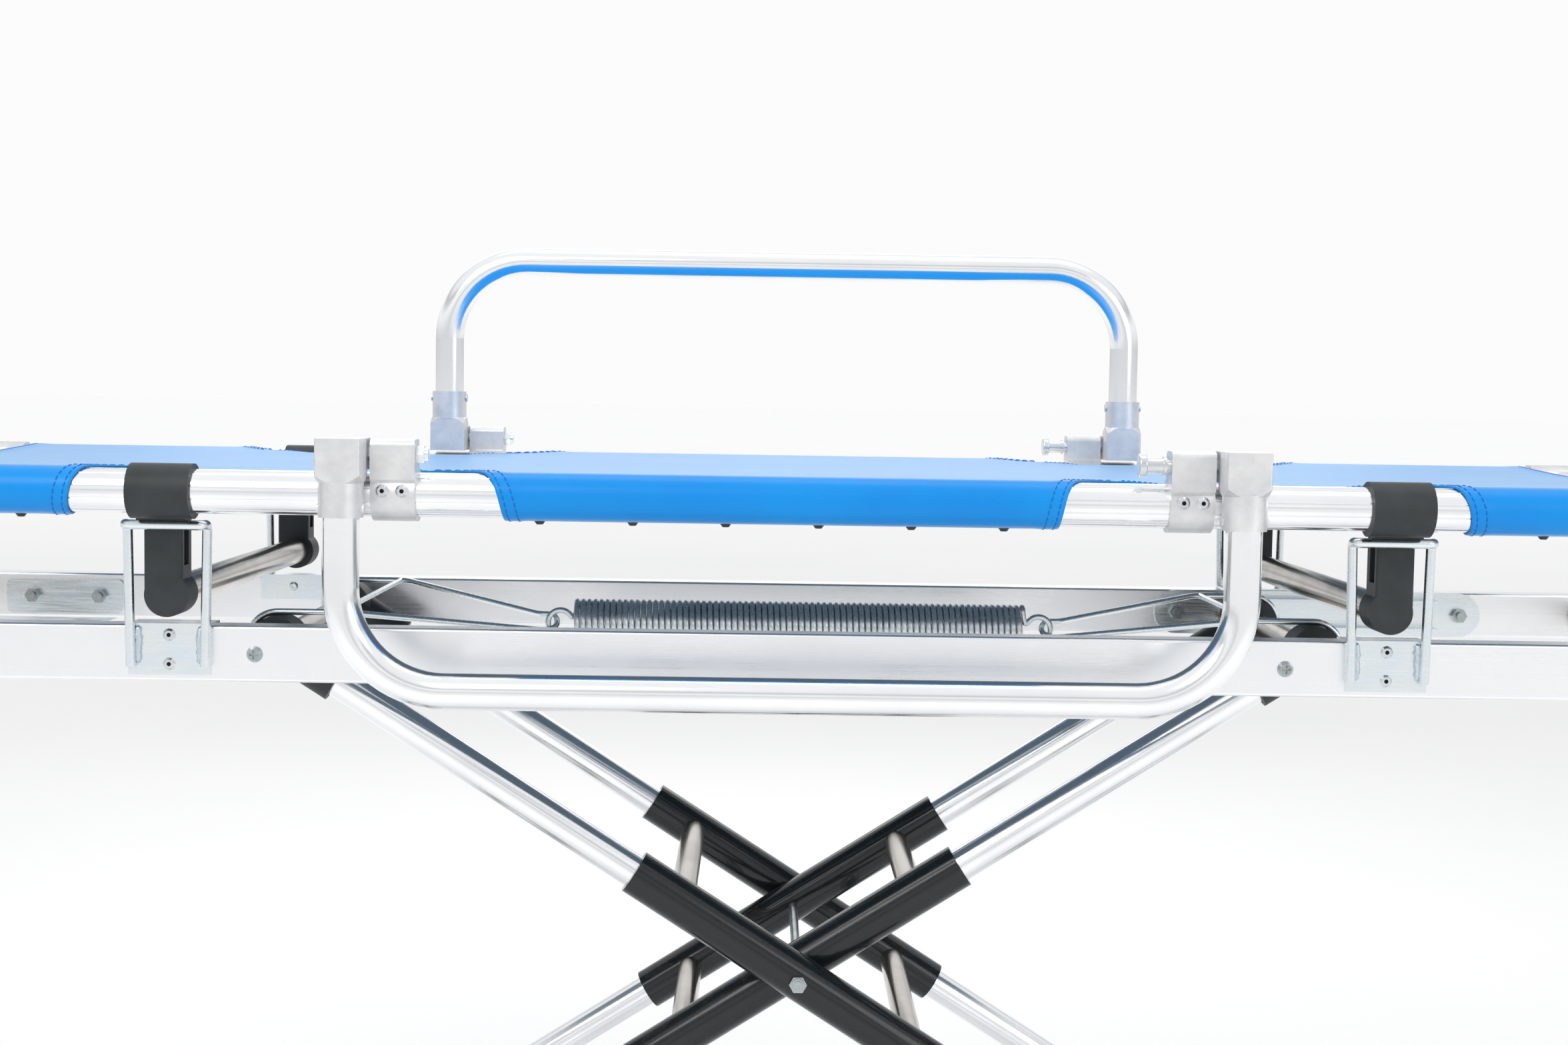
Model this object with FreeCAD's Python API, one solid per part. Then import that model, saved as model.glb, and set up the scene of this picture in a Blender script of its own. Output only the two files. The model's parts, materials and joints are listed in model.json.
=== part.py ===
import FreeCAD, Part
import math
import os

# Folding ambulance stretcher: a lift-off litter on a scissor-legged, wheeled undercarriage.
# Millimetres, +Z up, +X towards the foot end. The shapes are first laid out with z = 0 on the
# side tubes' axis and y = 0 on the middle plane, then moved so that the origin is at floor level
# under the middle of the whole object.

V = FreeCAD.Vector
X_AXIS = V(1, 0, 0)
Y_AXIS = V(0, 1, 0)
Z_AXIS = V(0, 0, 1)
SIDES = {"right": -1, "left": 1}
ENDS = {"head": -1, "foot": 1}

# Litter: two grooved side tubes with a cover between them
TUBE_Y = 263.0
TUBE_R = 17.1
TUBE_BORE = 14.6
TUBE_HALF = 845.0
GROOVES = 10
GROOVE_R = 0.8
GROOVE_AXIS_R = 17.4
GRIP_R = 18.5
GRIP_END = 975.0
GRIP_START = 825.0
GRIP_BULGE_X = 905.0
SPREADER_X = 790.0
SPREADER_R = 12.5
SPREADER_WALL = 1.5
TEE_HALF = 20.0
TEE_WALL = 3.6
TEE_REACH = 32.0
TEE_SEAT = 4.0
COVER_GAP = 0.2
COVER_THICK = 1.5
COVER_END = 765.0
COVER_EDGE_Y = 228.0
FLAP_MIDDLE = 235.0
FLAP_END_START = 540.0
FLAP_TUCK_Z = -14.0
RIVET_PITCH = 72.0
MIDDLE_RIVETS_FROM = -191.0

# Arm clamps that hang from the side tubes and carry the two litter cross tubes
CLAMP_X = {"head": -485.0, "foot": 479.0}
CLAMP_LONG = 48.0
CLAMP_R = 21.5
RING_INWARD = 4.5
NECK_HALF = 19.0
SLOT_DEEP = 8.0
SLOT_TOP = -28.0
SLOT_LOW = -60.0
ARM_OUT_Y = 240.0
ARM_IN_Y = 212.0
ARM_WIDE = 30.0
LOBE_R = 17.5
LOBE_Z = -83.0
CROSS_R = 12.5
CROSS_WALL = 1.5

# Guard rails and their hinges
GUARD_MID_X = 5.0
GUARD_X = 342.0
GUARD_R = 14.0
GUARD_BORE = 12.0
GUARD_PIVOT_Y = 272.0
GUARD_PIVOT_Z = 31.5
GUARD_OFFSET = 26.0
GUARD_DROP = 179.0
GUARD_BEND = 78.0
BLOCK_WIDE = 34.0
BLOCK_CONE = -21.5
BLOCK_IN = 17.0
BLOCK_OUT = 16.0
BLOCK_LOW = -24.0
KNUCKLE_R = 12.0
SOCKET_R = 17.0
SOCKET_END = 47.5
SOCKET_RIVET = -41.0
SOCKET_TOP = 23.0
SADDLE_X = 306.0
SADDLE_LONG = 34.0
SADDLE_R = 20.6
PIN_R = 5.0
RIVET_R = 5.0
RIVET_TALL = 1.6
RIVET_HOLE_R = 1.7
SADDLE_RIVET_Z = 3.5
SADDLE_RIVET_X = 7.5
RUN_CLEARANCE = 0.05
KNOB_R = 9.0
KNOB_LONG = 6.0
SHANK_R = 6.0
SHANK_LONG = 15.0
WASHER_R = 7.5
NECK_R = 4.5
NECK_LONG = 3.0

# Undercarriage rails
RAIL_IN_Y = 205.0
RAIL_OUT_Y = 230.5
RAIL_TOP = -107.8
RAIL_BOTTOM = -152.4
RAIL_WALL = 2.2
RAIL_HALF = 860.0
RAIL_EDGE = 2.5
SCREW_R = 4.0
SCREW_HEAD_R = 6.5
SCREW_HEAD = 3.4
RECESS_DEEP = 1.8
RECESS_HALF = 3.4
RAIL_CROSS_X = 815.0
FLANGE_R = 20.0
FLANGE_THICK = 4.0

# Stirrups that locate the arms
STIRRUP_HALF = 29.2
STIRRUP_BAR_HALF = 31.2
STIRRUP_WIRE = 3.9
STIRRUP_BAR_Y = 246.0
STIRRUP_BAR_Z = -27.5
STIRRUP_FOOT_Z = -140.0
STIRRUP_BEND = 5.0
PLATE_HALF = 32.5
PLATE_THICK = 1.5
PLATE_BOTTOM = -147.0
PLATE_INNER_BOTTOM = -131.0
PLATE_RIVETS_Z = (-115.3, -138.4)
INNER_RIVET_Z = -118.0

# Scissor legs
FRAME_X = 17.0
PIVOT_Z = -130.0
LEG_HALF = 516.0
LEG_ANGLE = math.radians(32.5)
OUTER_Y = 149.0
INNER_Y = 111.0
LEG_R = 14.0
LEG_BORE = 12.0
SLEEVE_R = 18.8
SLEEVE_HALF = 164.0
LEG_GAP = 30.0
FITTING_LONG = 58.5
SOCKET_DEEP = 80.0
BOSS_R = 22.5
BOSS_WIDE = 30.0
AXLE_R = 11.0
AXLE_BORE = 8.0
BRACE_R = 11.0
BRACE_BORE = 9.5
BRACE_AT = 116.0
BOLT_R = 4.0
NUT_R = 7.5
NUT_LONG = 5.5
COLLAR_R = 5.6
COLLAR_LONG = 1.5

# Slider guides and slide rollers
ROLLER_R = 12.5
ROLLER_GAP = 0.1
GUIDE_FROM = 399.0
GUIDE_TO = 683.0
GUIDE_R = 22.0
GUIDE_PLATE = 2.5
GUIDE_FLANGE = 2.5
GUIDE_LIP_Y = 188.0
ROLLER_IN_Y = 190.0
ROLLER_OUT_Y = 202.3

# Counterbalance spring and its wire yokes
SPRING_R = 19.35
SPRING_WIRE = 2.65
SPRING_HALF = 203.5
SPRING_COILS = 74
HOOK_AT = 216.0
HOOK_R = 11.0
YOKE_WIRE = 2.7
BRACE_WIRE = 2.4
YOKE_APEX = 3.0
YOKE_BEND = 8.9
YOKE_SPREAD = 6.4
YOKE_STRAIGHT = 16.0
SPRING_Z = -127.0

# Base frame and castors
BASE_HEAD = -540.0
BASE_FOOT = 760.0
BASE_WALL_Y = 205.0
CASTOR_X = (-510.0, 730.0)
CASTOR_Y = 196.5
CASTOR_TALL = 155.0
WHEEL_R = 62.5
WHEEL_WIDE = 26.0
TRAIL = 35.0
KINGPIN_R = 6.0
CASTOR_PLATE = 4.0
FORK_HALF = 17.0
FORK_PLATE = 4.0
FORK_FRONT = 16.0
FORK_BACK = 38.0
CROWN_R = 23.0
CROWN_TALL = 8.0
AXLE_BOLT_R = 5.0

# Loading wheels at the head end
BRACKET_BOLTS = (-743.0, -677.0)
BRACKET_FROM = -770.0
BRACKET_TO = -654.0
BRACKET_THICK = 4.0
BACKING_THICK = 3.0
LOADER_X = -862.0
LOADER_Z = -206.0
LOADER_R = 45.0
LOADER_WIDE = 24.0

LEG_DX = LEG_HALF * math.cos(LEG_ANGLE)
LEG_DZ = LEG_HALF * math.sin(LEG_ANGLE)
HEAD_PIVOT_X = FRAME_X - LEG_DX
FOOT_PIVOT_X = FRAME_X + LEG_DX
CROSS_Z = PIVOT_Z - LEG_DZ
BASE_Z = PIVOT_Z - 2 * LEG_DZ
GUIDE_HALF_GAP = ROLLER_R + ROLLER_GAP
GUIDE_HALF_TALL = GUIDE_HALF_GAP + GUIDE_FLANGE
COVER_LOW = TUBE_R + COVER_GAP
COVER_TOP = COVER_LOW + COVER_THICK
FLOOR_Z = BASE_Z - GUIDE_HALF_TALL - CASTOR_TALL


def block(x0, x1, y0, y1, z0, z1):
    low = V(min(x0, x1), min(y0, y1), min(z0, z1))
    return Part.makeBox(abs(x1 - x0), abs(y1 - y0), abs(z1 - z0), low)


def rod(start, end, radius):
    run = end - start
    return Part.makeCylinder(radius, run.Length, start, run)


def pipe(start, end, outer, inner):
    return rod(start, end, outer).cut(rod(start, end, inner))


def prism(points, thickness):
    """A flat polygon with its points given in space, pushed along the thickness vector."""
    wire = Part.makePolygon(points + points[:1])
    return Part.Face(wire).extrude(thickness)


def hexagon(centre, radius, push):
    """A hexagonal nut or head that grows from its centre along a level push vector."""
    across = Z_AXIS.cross(push).normalize()
    points = []
    for k in range(6):
        turn = math.radians(60 * k)
        points.append(centre + (across * math.cos(turn) + Z_AXIS * math.sin(turn)) * radius)
    return prism(points, push)


def rounded_path(points, radii):
    """Straight runs through the points, with an arc of the given radius at each inner point."""
    edges = []
    last = points[0]
    for before, corner, after, radius in zip(points, points[1:], points[2:], radii):
        u = (before - corner).normalize()
        w = (after - corner).normalize()
        half = u.getAngle(w) / 2
        reach = radius / math.tan(half)
        start = corner + u * reach
        end = corner + w * reach
        middle_way = (u + w).normalize()
        middle = corner + middle_way * (radius / math.sin(half) - radius)
        if (start - last).Length > 1e-6:
            edges.append(Part.LineSegment(last, start).toShape())
        edges.append(Part.Arc(start, middle, end).toShape())
        last = end
    edges.append(Part.LineSegment(last, points[-1]).toShape())
    return Part.Wire(edges)


def swept(path, radius):
    start = path.Vertexes[0].Point
    way = path.Edges[0].tangentAt(path.Edges[0].FirstParameter)
    ring = Part.Wire([Part.makeCircle(radius, start, way)])
    return path.makePipeShell([ring], True, True)


def round_edges(shape, radius, along):
    """Rounds every straight edge that runs along the given axis."""
    picked = []
    for edge in shape.Edges:
        if edge.Curve.TypeId == "Part::GeomLine":
            way = edge.tangentAt(edge.FirstParameter)
            if abs(abs(way.dot(along)) - 1) < 1e-6:
                picked.append(edge)
    return shape.makeFillet(radius, picked)


def mirrored_x(shape):
    return shape.mirror(V(0, 0, 0), X_AXIS)


def group(shapes):
    return Part.makeCompound(shapes)


def turned(points, start, axis):
    """Revolves a closed outline about the line through start along axis."""
    wire = Part.makePolygon(points + points[:1])
    return Part.Face(wire).revolve(start, axis, 360)


# ---------------------------------------------------------------- litter


def side_tube(side):
    y = side * TUBE_Y
    start = V(-TUBE_HALF, y, 0)
    end = V(TUBE_HALF, y, 0)
    body = pipe(start, end, TUBE_R, TUBE_BORE)
    cutters = []
    for k in range(GROOVES):
        turn = 2 * math.pi * (k + 0.5) / GROOVES
        shift = V(0, GROOVE_AXIS_R * math.cos(turn), GROOVE_AXIS_R * math.sin(turn))
        cutters.append(rod(start + shift, end + shift, GROOVE_R))
    return body.cut(cutters)


def end_grip(side, end):
    """A moulded grip over the tube's end, with a bulged middle and a rounded tip."""
    y = side * TUBE_Y
    neck = GRIP_R + 1.5
    outline = [(GRIP_START, 0), (GRIP_START, GRIP_R), (GRIP_START + 4, neck), (GRIP_START + 14, neck)]
    outline += [(GRIP_START + 20, GRIP_R), (GRIP_BULGE_X, GRIP_R + 1), (GRIP_END - 10, GRIP_R)]
    outline += [(GRIP_END - 2, GRIP_R - 4), (GRIP_END, GRIP_R - 9), (GRIP_END, 0)]
    points = [V(x, y, r) for x, r in outline]
    body = turned(points, V(0, y, 0), X_AXIS)
    body = body.cut(rod(V(GRIP_START - 1, y, 0), V(TUBE_HALF, y, 0), TUBE_R))
    return body if end > 0 else mirrored_x(body)


def end_spreader(end):
    x = end * SPREADER_X
    reach = TUBE_Y - TUBE_R - TEE_SEAT
    return pipe(V(x, -reach, 0), V(x, reach, 0), SPREADER_R, SPREADER_R - SPREADER_WALL)


def spreader_socket(side, end):
    """A cast tee: a ring on the side tube and a short socket for the spreader."""
    x = end * SPREADER_X
    y = side * TUBE_Y
    ring = rod(V(x - TEE_HALF, y, 0), V(x + TEE_HALF, y, 0), TUBE_R + TEE_WALL)
    inner = side * (TUBE_Y - TUBE_R - TEE_REACH)
    cup = rod(V(x, y, 0), V(x, inner, 0), SPREADER_R + TEE_WALL - 0.1)
    body = ring.fuse(cup).cut(rod(V(x - TEE_HALF, y, 0), V(x + TEE_HALF, y, 0), TUBE_R))
    return body.cut(rod(V(x, side * (TUBE_Y - TUBE_R - TEE_SEAT), 0), V(x, inner, 0), SPREADER_R))


def cover_flap(x0, x1, side):
    """The stretch of cover that wraps over and under one side tube."""
    y = side * TUBE_Y
    start = V(x0, y, 0)
    end = V(x1, y, 0)
    sleeve = pipe(start, end, COVER_TOP, COVER_LOW)
    return sleeve.cut(block(x0, x1, y, y - side * 30, FLAP_TUCK_Z, 30))


def cover():
    """The sheet that the patient lies on, with three flaps a side."""
    body = block(-COVER_END, COVER_END, -COVER_EDGE_Y, COVER_EDGE_Y, COVER_LOW, COVER_TOP)
    spans = [(-COVER_END, -FLAP_END_START), (-FLAP_MIDDLE, FLAP_MIDDLE), (FLAP_END_START, COVER_END)]
    pieces = []
    for x0, x1 in spans:
        pieces.append(block(x0, x1, -TUBE_Y, TUBE_Y, COVER_LOW, COVER_TOP))
        for side in SIDES.values():
            pieces.append(cover_flap(x0, x1, side))
    return body.fuse(pieces).removeSplitter()


def cover_rivets():
    rivets = []
    starts = [(-COVER_END + 30, 3), (MIDDLE_RIVETS_FROM, 6), (FLAP_END_START + 50, 3)]
    for start, count in starts:
        for k in range(count):
            for side in SIDES.values():
                y = side * (TUBE_Y - 4)
                x = start + k * RIVET_PITCH
                top = -COVER_TOP - 0.3
                rivets.append(Part.makeCone(4.5, 2.5, 2.6, V(x, y, top), -Z_AXIS))
    return group(rivets)


def arm_clamp(side, end):
    """A moulded ring on the side tube with an arm that hangs inside it and ends in a round lobe."""
    x = CLAMP_X[end]
    outward = ENDS[end]
    y = side * TUBE_Y
    ring_x = x - outward * RING_INWARD
    ring = rod(V(ring_x - CLAMP_LONG / 2, y, 0), V(ring_x + CLAMP_LONG / 2, y, 0), CLAMP_R)
    out_y = side * ARM_OUT_Y
    in_y = side * ARM_IN_Y
    outer_x = x + outward * LOBE_R
    inner_x = outer_x - outward * ARM_WIDE
    arm = block(outer_x, inner_x, out_y, in_y, LOBE_Z, 4)
    arm = round_edges(arm, 2, Z_AXIS)
    neck_z = STIRRUP_BAR_Z + STIRRUP_WIRE
    neck = block(x - NECK_HALF, x + NECK_HALF, side * (TUBE_Y - 8), side * (ARM_OUT_Y - 4), neck_z, 2)
    lobe = rod(V(x, out_y, LOBE_Z), V(x, in_y, LOBE_Z), LOBE_R)
    body = ring.fuse([arm, neck, lobe])
    body = body.cut(rod(V(x - 40, y, 0), V(x + 40, y, 0), TUBE_R))
    body = body.cut(rod(V(x, side * (ARM_OUT_Y - 6), LOBE_Z), V(x, in_y, LOBE_Z), CROSS_R))
    for edge, flank in ((outer_x, outward), (inner_x, -outward)):
        slot_y = side * (ARM_OUT_Y - 6)
        slot = block(edge - flank * SLOT_DEEP, edge + flank, slot_y, slot_y - side * 13, SLOT_LOW, SLOT_TOP)
        body = body.cut(slot)
    return body


def litter_cross_tube(end):
    x = CLAMP_X[end]
    reach = ARM_OUT_Y - 6
    return pipe(V(x, -reach, LOBE_Z), V(x, reach, LOBE_Z), CROSS_R, CROSS_R - CROSS_WALL)


# ---------------------------------------------------------------- guard rails


def guard_point(side, raised, x, out, up):
    """A point given from the hinge pin: out is away from the litter and up is towards the top
    while the guard hangs down; a raised guard is turned half a turn about the pin."""
    turn = -1 if raised else 1
    y = side * (GUARD_PIVOT_Y + turn * out)
    return V(GUARD_MID_X + x, y, GUARD_PIVOT_Z + turn * up)


def guard_rail(side, raised):
    """The bent tube: two legs and a bar, with wide corners."""
    def at(x, up):
        return guard_point(side, raised, x, GUARD_OFFSET, up)
    corners = [at(-GUARD_X, -SOCKET_TOP), at(-GUARD_X, -GUARD_DROP)]
    corners += [at(GUARD_X, -GUARD_DROP), at(GUARD_X, -SOCKET_TOP)]
    path = rounded_path(corners, [GUARD_BEND, GUARD_BEND])
    return swept(path, GUARD_R).cut(swept(path, GUARD_BORE))


def guard_block(side, raised, end):
    """The cast hinge block: a round knuckle, a square body that tapers into a round socket."""
    x = end * GUARD_X
    half = BLOCK_WIDE / 2
    centre = GUARD_OFFSET

    def at(dx, out, up):
        return guard_point(side, raised, x + dx, out, up)

    def brick(out0, out1, up0, up1):
        a = at(-half, out0, up0)
        b = at(half, out1, up1)
        return block(a.x, b.x, a.y, b.y, a.z, b.z)

    square = round_edges(brick(centre - BLOCK_IN, centre + BLOCK_OUT, BLOCK_LOW, KNUCKLE_R), 1.5, Z_AXIS)
    low = at(0, centre, BLOCK_CONE)
    top = at(0, centre, KNUCKLE_R)
    tall = (top - low).Length
    cone = Part.makeCone(SOCKET_R, SOCKET_R + tall, tall, low, top - low)
    neck = brick(0, centre - 10, -KNUCKLE_R, KNUCKLE_R)
    knuckle = rod(at(-half, 0, 0), at(half, 0, 0), KNUCKLE_R)
    socket = rod(at(0, centre, -SOCKET_END), at(0, centre, -20), SOCKET_R)
    rivet = rod(at(-SOCKET_R - 1, centre, SOCKET_RIVET), at(SOCKET_R + 1, centre, SOCKET_RIVET), 4)
    body = square.common(cone).fuse([neck, knuckle, socket, rivet])
    bore = rod(at(0, centre, -SOCKET_END - 1), at(0, centre, -SOCKET_TOP), GUARD_R)
    pin = rod(at(-half - 1, 0, 0), at(half + 1, 0, 0), PIN_R + RUN_CLEARANCE)
    return body.cut([bore, pin]).removeSplitter()


def guard_saddle(side, end):
    """The fixed half of a hinge: a clamp round the outside of the tube with a boss on top."""
    x = GUARD_MID_X + end * SADDLE_X
    half = SADDLE_LONG / 2
    y = side * TUBE_Y
    out_y = side * (GUARD_PIVOT_Y + KNUCKLE_R)
    in_y = side * (GUARD_PIVOT_Y - KNUCKLE_R)
    boss = block(x - half, x + half, out_y, in_y, 12, GUARD_PIVOT_Z + KNUCKLE_R - 0.5)
    boss = boss.makeFillet(5, [e for e in boss.Edges if e.BoundBox.ZMin > 40 and e.BoundBox.XLength > 1])
    wrap = rod(V(x - half, y, 0), V(x + half, y, 0), SADDLE_R)
    wrap = wrap.cut(block(x - 20, x + 20, side * (TUBE_Y - 9), side * (TUBE_Y - 30), -30, 30))
    foot = block(x - half, x + half, side * (TUBE_Y + 18), side * (TUBE_Y - 2), 8, 13)
    body = boss.fuse([wrap, foot])
    body = body.cut(rod(V(x - 20, y, 0), V(x + 20, y, 0), TUBE_R))
    pivot_y = side * GUARD_PIVOT_Y
    pin = rod(V(x - 20, pivot_y, GUARD_PIVOT_Z), V(x + 20, pivot_y, GUARD_PIVOT_Z), PIN_R)
    return body.cut(pin).removeSplitter()


def hinge_pin(side):
    """The plain pin at the head end of a guard, with a nut at its inner end."""
    y = side * GUARD_PIVOT_Y
    start = V(GUARD_MID_X - GUARD_X - BLOCK_WIDE / 2, y, GUARD_PIVOT_Z)
    inner = V(GUARD_MID_X - SADDLE_X + SADDLE_LONG / 2, y, GUARD_PIVOT_Z)
    shank = rod(start, inner + V(9, 0, 0), PIN_R)
    return shank.fuse(hexagon(inner + V(0.1, 0, 0), NUT_R, V(6, 0, 0)))


def plunger(side):
    """The sprung knob whose pin is the guard's foot-end pivot; it pulls towards the middle."""
    y = side * GUARD_PIVOT_Y
    face = GUARD_MID_X + SADDLE_X - SADDLE_LONG / 2 - RUN_CLEARANCE
    neck_x = face - NECK_LONG
    shank_x = neck_x - SHANK_LONG

    def at(x):
        return V(x, y, GUARD_PIVOT_Z)
    head = rod(at(shank_x - KNOB_LONG), at(shank_x), KNOB_R)
    head = head.makeFillet(1.2, [e for e in head.Edges if e.Curve.TypeId == "Part::GeomCircle"])
    shank = rod(at(shank_x), at(neck_x), SHANK_R)
    washer = rod(at(neck_x - 2), at(neck_x), WASHER_R)
    neck = rod(at(neck_x), at(face), NECK_R)
    nose = rod(at(neck_x), at(GUARD_MID_X + GUARD_X + 10), PIN_R - RUN_CLEARANCE)
    return head.fuse([shank, washer, neck, nose])


def pop_rivet(x, y, z, side, radius):
    """A domed rivet head on a face that looks outwards in y, with the hole its pin leaves."""
    dome = Part.makeCone(radius, radius - RIVET_TALL, RIVET_TALL, V(x, y, z), Y_AXIS * side)
    return dome.cut(rod(V(x, y, z), V(x, y + side * 3, z), RIVET_HOLE_R))


def saddle_rivets():
    rivets = []
    for side in SIDES.values():
        for end in ENDS.values():
            for dx in (-SADDLE_RIVET_X, SADDLE_RIVET_X):
                x = GUARD_MID_X + end * SADDLE_X + dx
                face = side * (TUBE_Y + SADDLE_R + RUN_CLEARANCE)
                rivets.append(pop_rivet(x, face, SADDLE_RIVET_Z, side, RIVET_R))
    return group(rivets)


# ---------------------------------------------------------------- undercarriage


def rail(side):
    """One hollow rectangular rail with its bolt holes."""
    inner = side * RAIL_IN_Y
    outer = side * RAIL_OUT_Y
    body = block(-RAIL_HALF, RAIL_HALF, inner, outer, RAIL_BOTTOM, RAIL_TOP)
    body = round_edges(body, RAIL_EDGE, X_AXIS)
    wall = side * RAIL_WALL
    hollow_low = RAIL_BOTTOM + RAIL_WALL
    hollow_top = RAIL_TOP - RAIL_WALL
    body = body.cut(block(-RAIL_HALF, RAIL_HALF, inner + wall, outer - wall, hollow_low, hollow_top))
    for x in (HEAD_PIVOT_X, GUIDE_FROM, GUIDE_TO) + BRACKET_BOLTS:
        start = V(x, side * (RAIL_IN_Y - 1), PIVOT_Z)
        body = body.cut(rod(start, start + V(0, side * 30, 0), SCREW_R))
    return body


def rail_cap(side, end):
    """A moulded plug with a flange over the end of a rail."""
    face = end * RAIL_HALF
    inner = side * RAIL_IN_Y
    outer = side * RAIL_OUT_Y
    flange = block(face, face + end * 4, inner, outer, RAIL_BOTTOM, RAIL_TOP)
    flange = round_edges(flange, RAIL_EDGE, X_AXIS)
    wall = side * RAIL_WALL
    plug = block(face - end * 18, face, inner + wall, outer - wall,
                 RAIL_BOTTOM + RAIL_WALL, RAIL_TOP - RAIL_WALL)
    return flange.fuse(plug)


def stirrup(side, end):
    """A wire hoop: two uprights on the plate that bend outwards into a bar at the top."""
    x = CLAMP_X[end]
    foot_y = side * (RAIL_OUT_Y + PLATE_THICK + STIRRUP_WIRE)
    top_y = side * STIRRUP_BAR_Y
    points = []
    for half, bar_half in ((-STIRRUP_HALF, -STIRRUP_BAR_HALF), (STIRRUP_HALF, STIRRUP_BAR_HALF)):
        upright = [V(x + half, foot_y, STIRRUP_FOOT_Z), V(x + bar_half, foot_y, STIRRUP_BAR_Z)]
        upright.append(V(x + bar_half, top_y, STIRRUP_BAR_Z))
        points += upright if half < 0 else upright[::-1]
    return swept(rounded_path(points, [STIRRUP_BEND] * 4), STIRRUP_WIRE)


def stirrup_plate(side, end):
    """The zinc plate folded over the rail; its inner flange is there only at the head end."""
    x = CLAMP_X[end]
    outer = side * (RAIL_OUT_Y + PLATE_THICK)
    inner = side * (RAIL_IN_Y - PLATE_THICK)
    top = RAIL_TOP + PLATE_THICK
    body = block(x - PLATE_HALF, x + PLATE_HALF, outer, inner, PLATE_BOTTOM, top)
    core = block(x - 40, x + 40, side * RAIL_OUT_Y, side * RAIL_IN_Y, -200, RAIL_TOP)
    body = body.cut(core)
    flange_end = PLATE_INNER_BOTTOM if end == "head" else RAIL_TOP
    spare = block(x - 40, x + 40, side * RAIL_IN_Y, side * 190, -200, flange_end)
    body = body.cut(spare)
    if end == "foot":
        body = body.cut(block(x - 40, x + 40, side * RAIL_IN_Y, side * 190, -200, top + 1))
    return body


def stirrup_rivets():
    rivets = []
    for side in SIDES.values():
        for x in CLAMP_X.values():
            for z in PLATE_RIVETS_Z:
                face = side * (RAIL_OUT_Y + PLATE_THICK + RUN_CLEARANCE)
                rivets.append(pop_rivet(x, face, z, side, RIVET_R))
        inner = side * (RAIL_IN_Y - PLATE_THICK - RUN_CLEARANCE)
        rivets.append(pop_rivet(CLAMP_X["head"], inner, INNER_RIVET_Z, -side, RIVET_R - 0.5))
    return group(rivets)


def pivot_axle():
    """The fixed axle that the outer legs hang from, tapped at both ends."""
    reach = RAIL_IN_Y
    body = rod(V(HEAD_PIVOT_X, -reach, PIVOT_Z), V(HEAD_PIVOT_X, reach, PIVOT_Z), AXLE_R)
    for side in SIDES.values():
        end = V(HEAD_PIVOT_X, side * reach, PIVOT_Z)
        body = body.cut(rod(end, end - V(0, side * 25, 0), SCREW_R))
    return body


def cross_head(x, face, side):
    """A low round screw head with a cross-shaped recess."""
    outer = V(x, face, PIVOT_Z)
    head = Part.makeCone(SCREW_HEAD_R, SCREW_HEAD_R - 1.8, SCREW_HEAD, outer, Y_AXIS * side)
    y0 = face + side * (SCREW_HEAD - RECESS_DEEP)
    y1 = face + side * (SCREW_HEAD + 1)
    for half_x, half_z in ((RECESS_HALF, 0.8), (0.8, RECESS_HALF)):
        head = head.cut(block(x - half_x, x + half_x, y0, y1, PIVOT_Z - half_z, PIVOT_Z + half_z))
    return head


def pivot_screw(side):
    face = side * RAIL_OUT_Y
    shank = rod(V(HEAD_PIVOT_X, face, PIVOT_Z), V(HEAD_PIVOT_X, side * (RAIL_IN_Y - 24), PIVOT_Z), SCREW_R)
    return cross_head(HEAD_PIVOT_X, face, side).fuse(shank)


def slider_guide(side):
    """A plate with round ends on the rail's inner face, with a channel that a roller runs in."""
    face = side * RAIL_IN_Y
    back = side * (RAIL_IN_Y - GUIDE_PLATE)
    lip = side * GUIDE_LIP_Y
    plate = block(GUIDE_FROM, GUIDE_TO, face, back, PIVOT_Z - GUIDE_R, PIVOT_Z + GUIDE_R)
    rounds = []
    for x in (GUIDE_FROM, GUIDE_TO):
        rounds.append(rod(V(x, face, PIVOT_Z), V(x, back, PIVOT_Z), GUIDE_R))
    body = plate.fuse(rounds)
    for up in (-1, 1):
        near = PIVOT_Z + up * GUIDE_HALF_GAP
        far = PIVOT_Z + up * GUIDE_HALF_TALL
        body = body.fuse(block(GUIDE_FROM + 24, GUIDE_TO - 24, face, lip, near, far))
    for x in (GUIDE_FROM, GUIDE_TO):
        body = body.cut(rod(V(x, face, PIVOT_Z), V(x, back, PIVOT_Z), SCREW_R))
    return body.removeSplitter()


def guide_bolt(x, side):
    """A cross-head screw through rail and guide, with a nut on the inside."""
    face = side * RAIL_OUT_Y
    back = side * (RAIL_IN_Y - GUIDE_PLATE)
    shank = rod(V(x, face, PIVOT_Z), V(x, back - side * 10, PIVOT_Z), SCREW_R)
    nut = hexagon(V(x, back, PIVOT_Z), NUT_R, V(0, -side * 6, 0))
    return cross_head(x, face, side).fuse([shank, nut])


def bracket_bolt(x, side):
    """A hexagon bolt through bracket, rail and backing plate."""
    face = side * (RAIL_OUT_Y + BRACKET_THICK)
    back = side * (RAIL_IN_Y - BACKING_THICK)
    head = hexagon(V(x, face, PIVOT_Z), NUT_R, V(0, side * 5, 0))
    shank = rod(V(x, face, PIVOT_Z), V(x, back - side * 9, PIVOT_Z), SCREW_R)
    nut = hexagon(V(x, back, PIVOT_Z), NUT_R, V(0, -side * 6, 0))
    return head.fuse([shank, nut])


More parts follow.
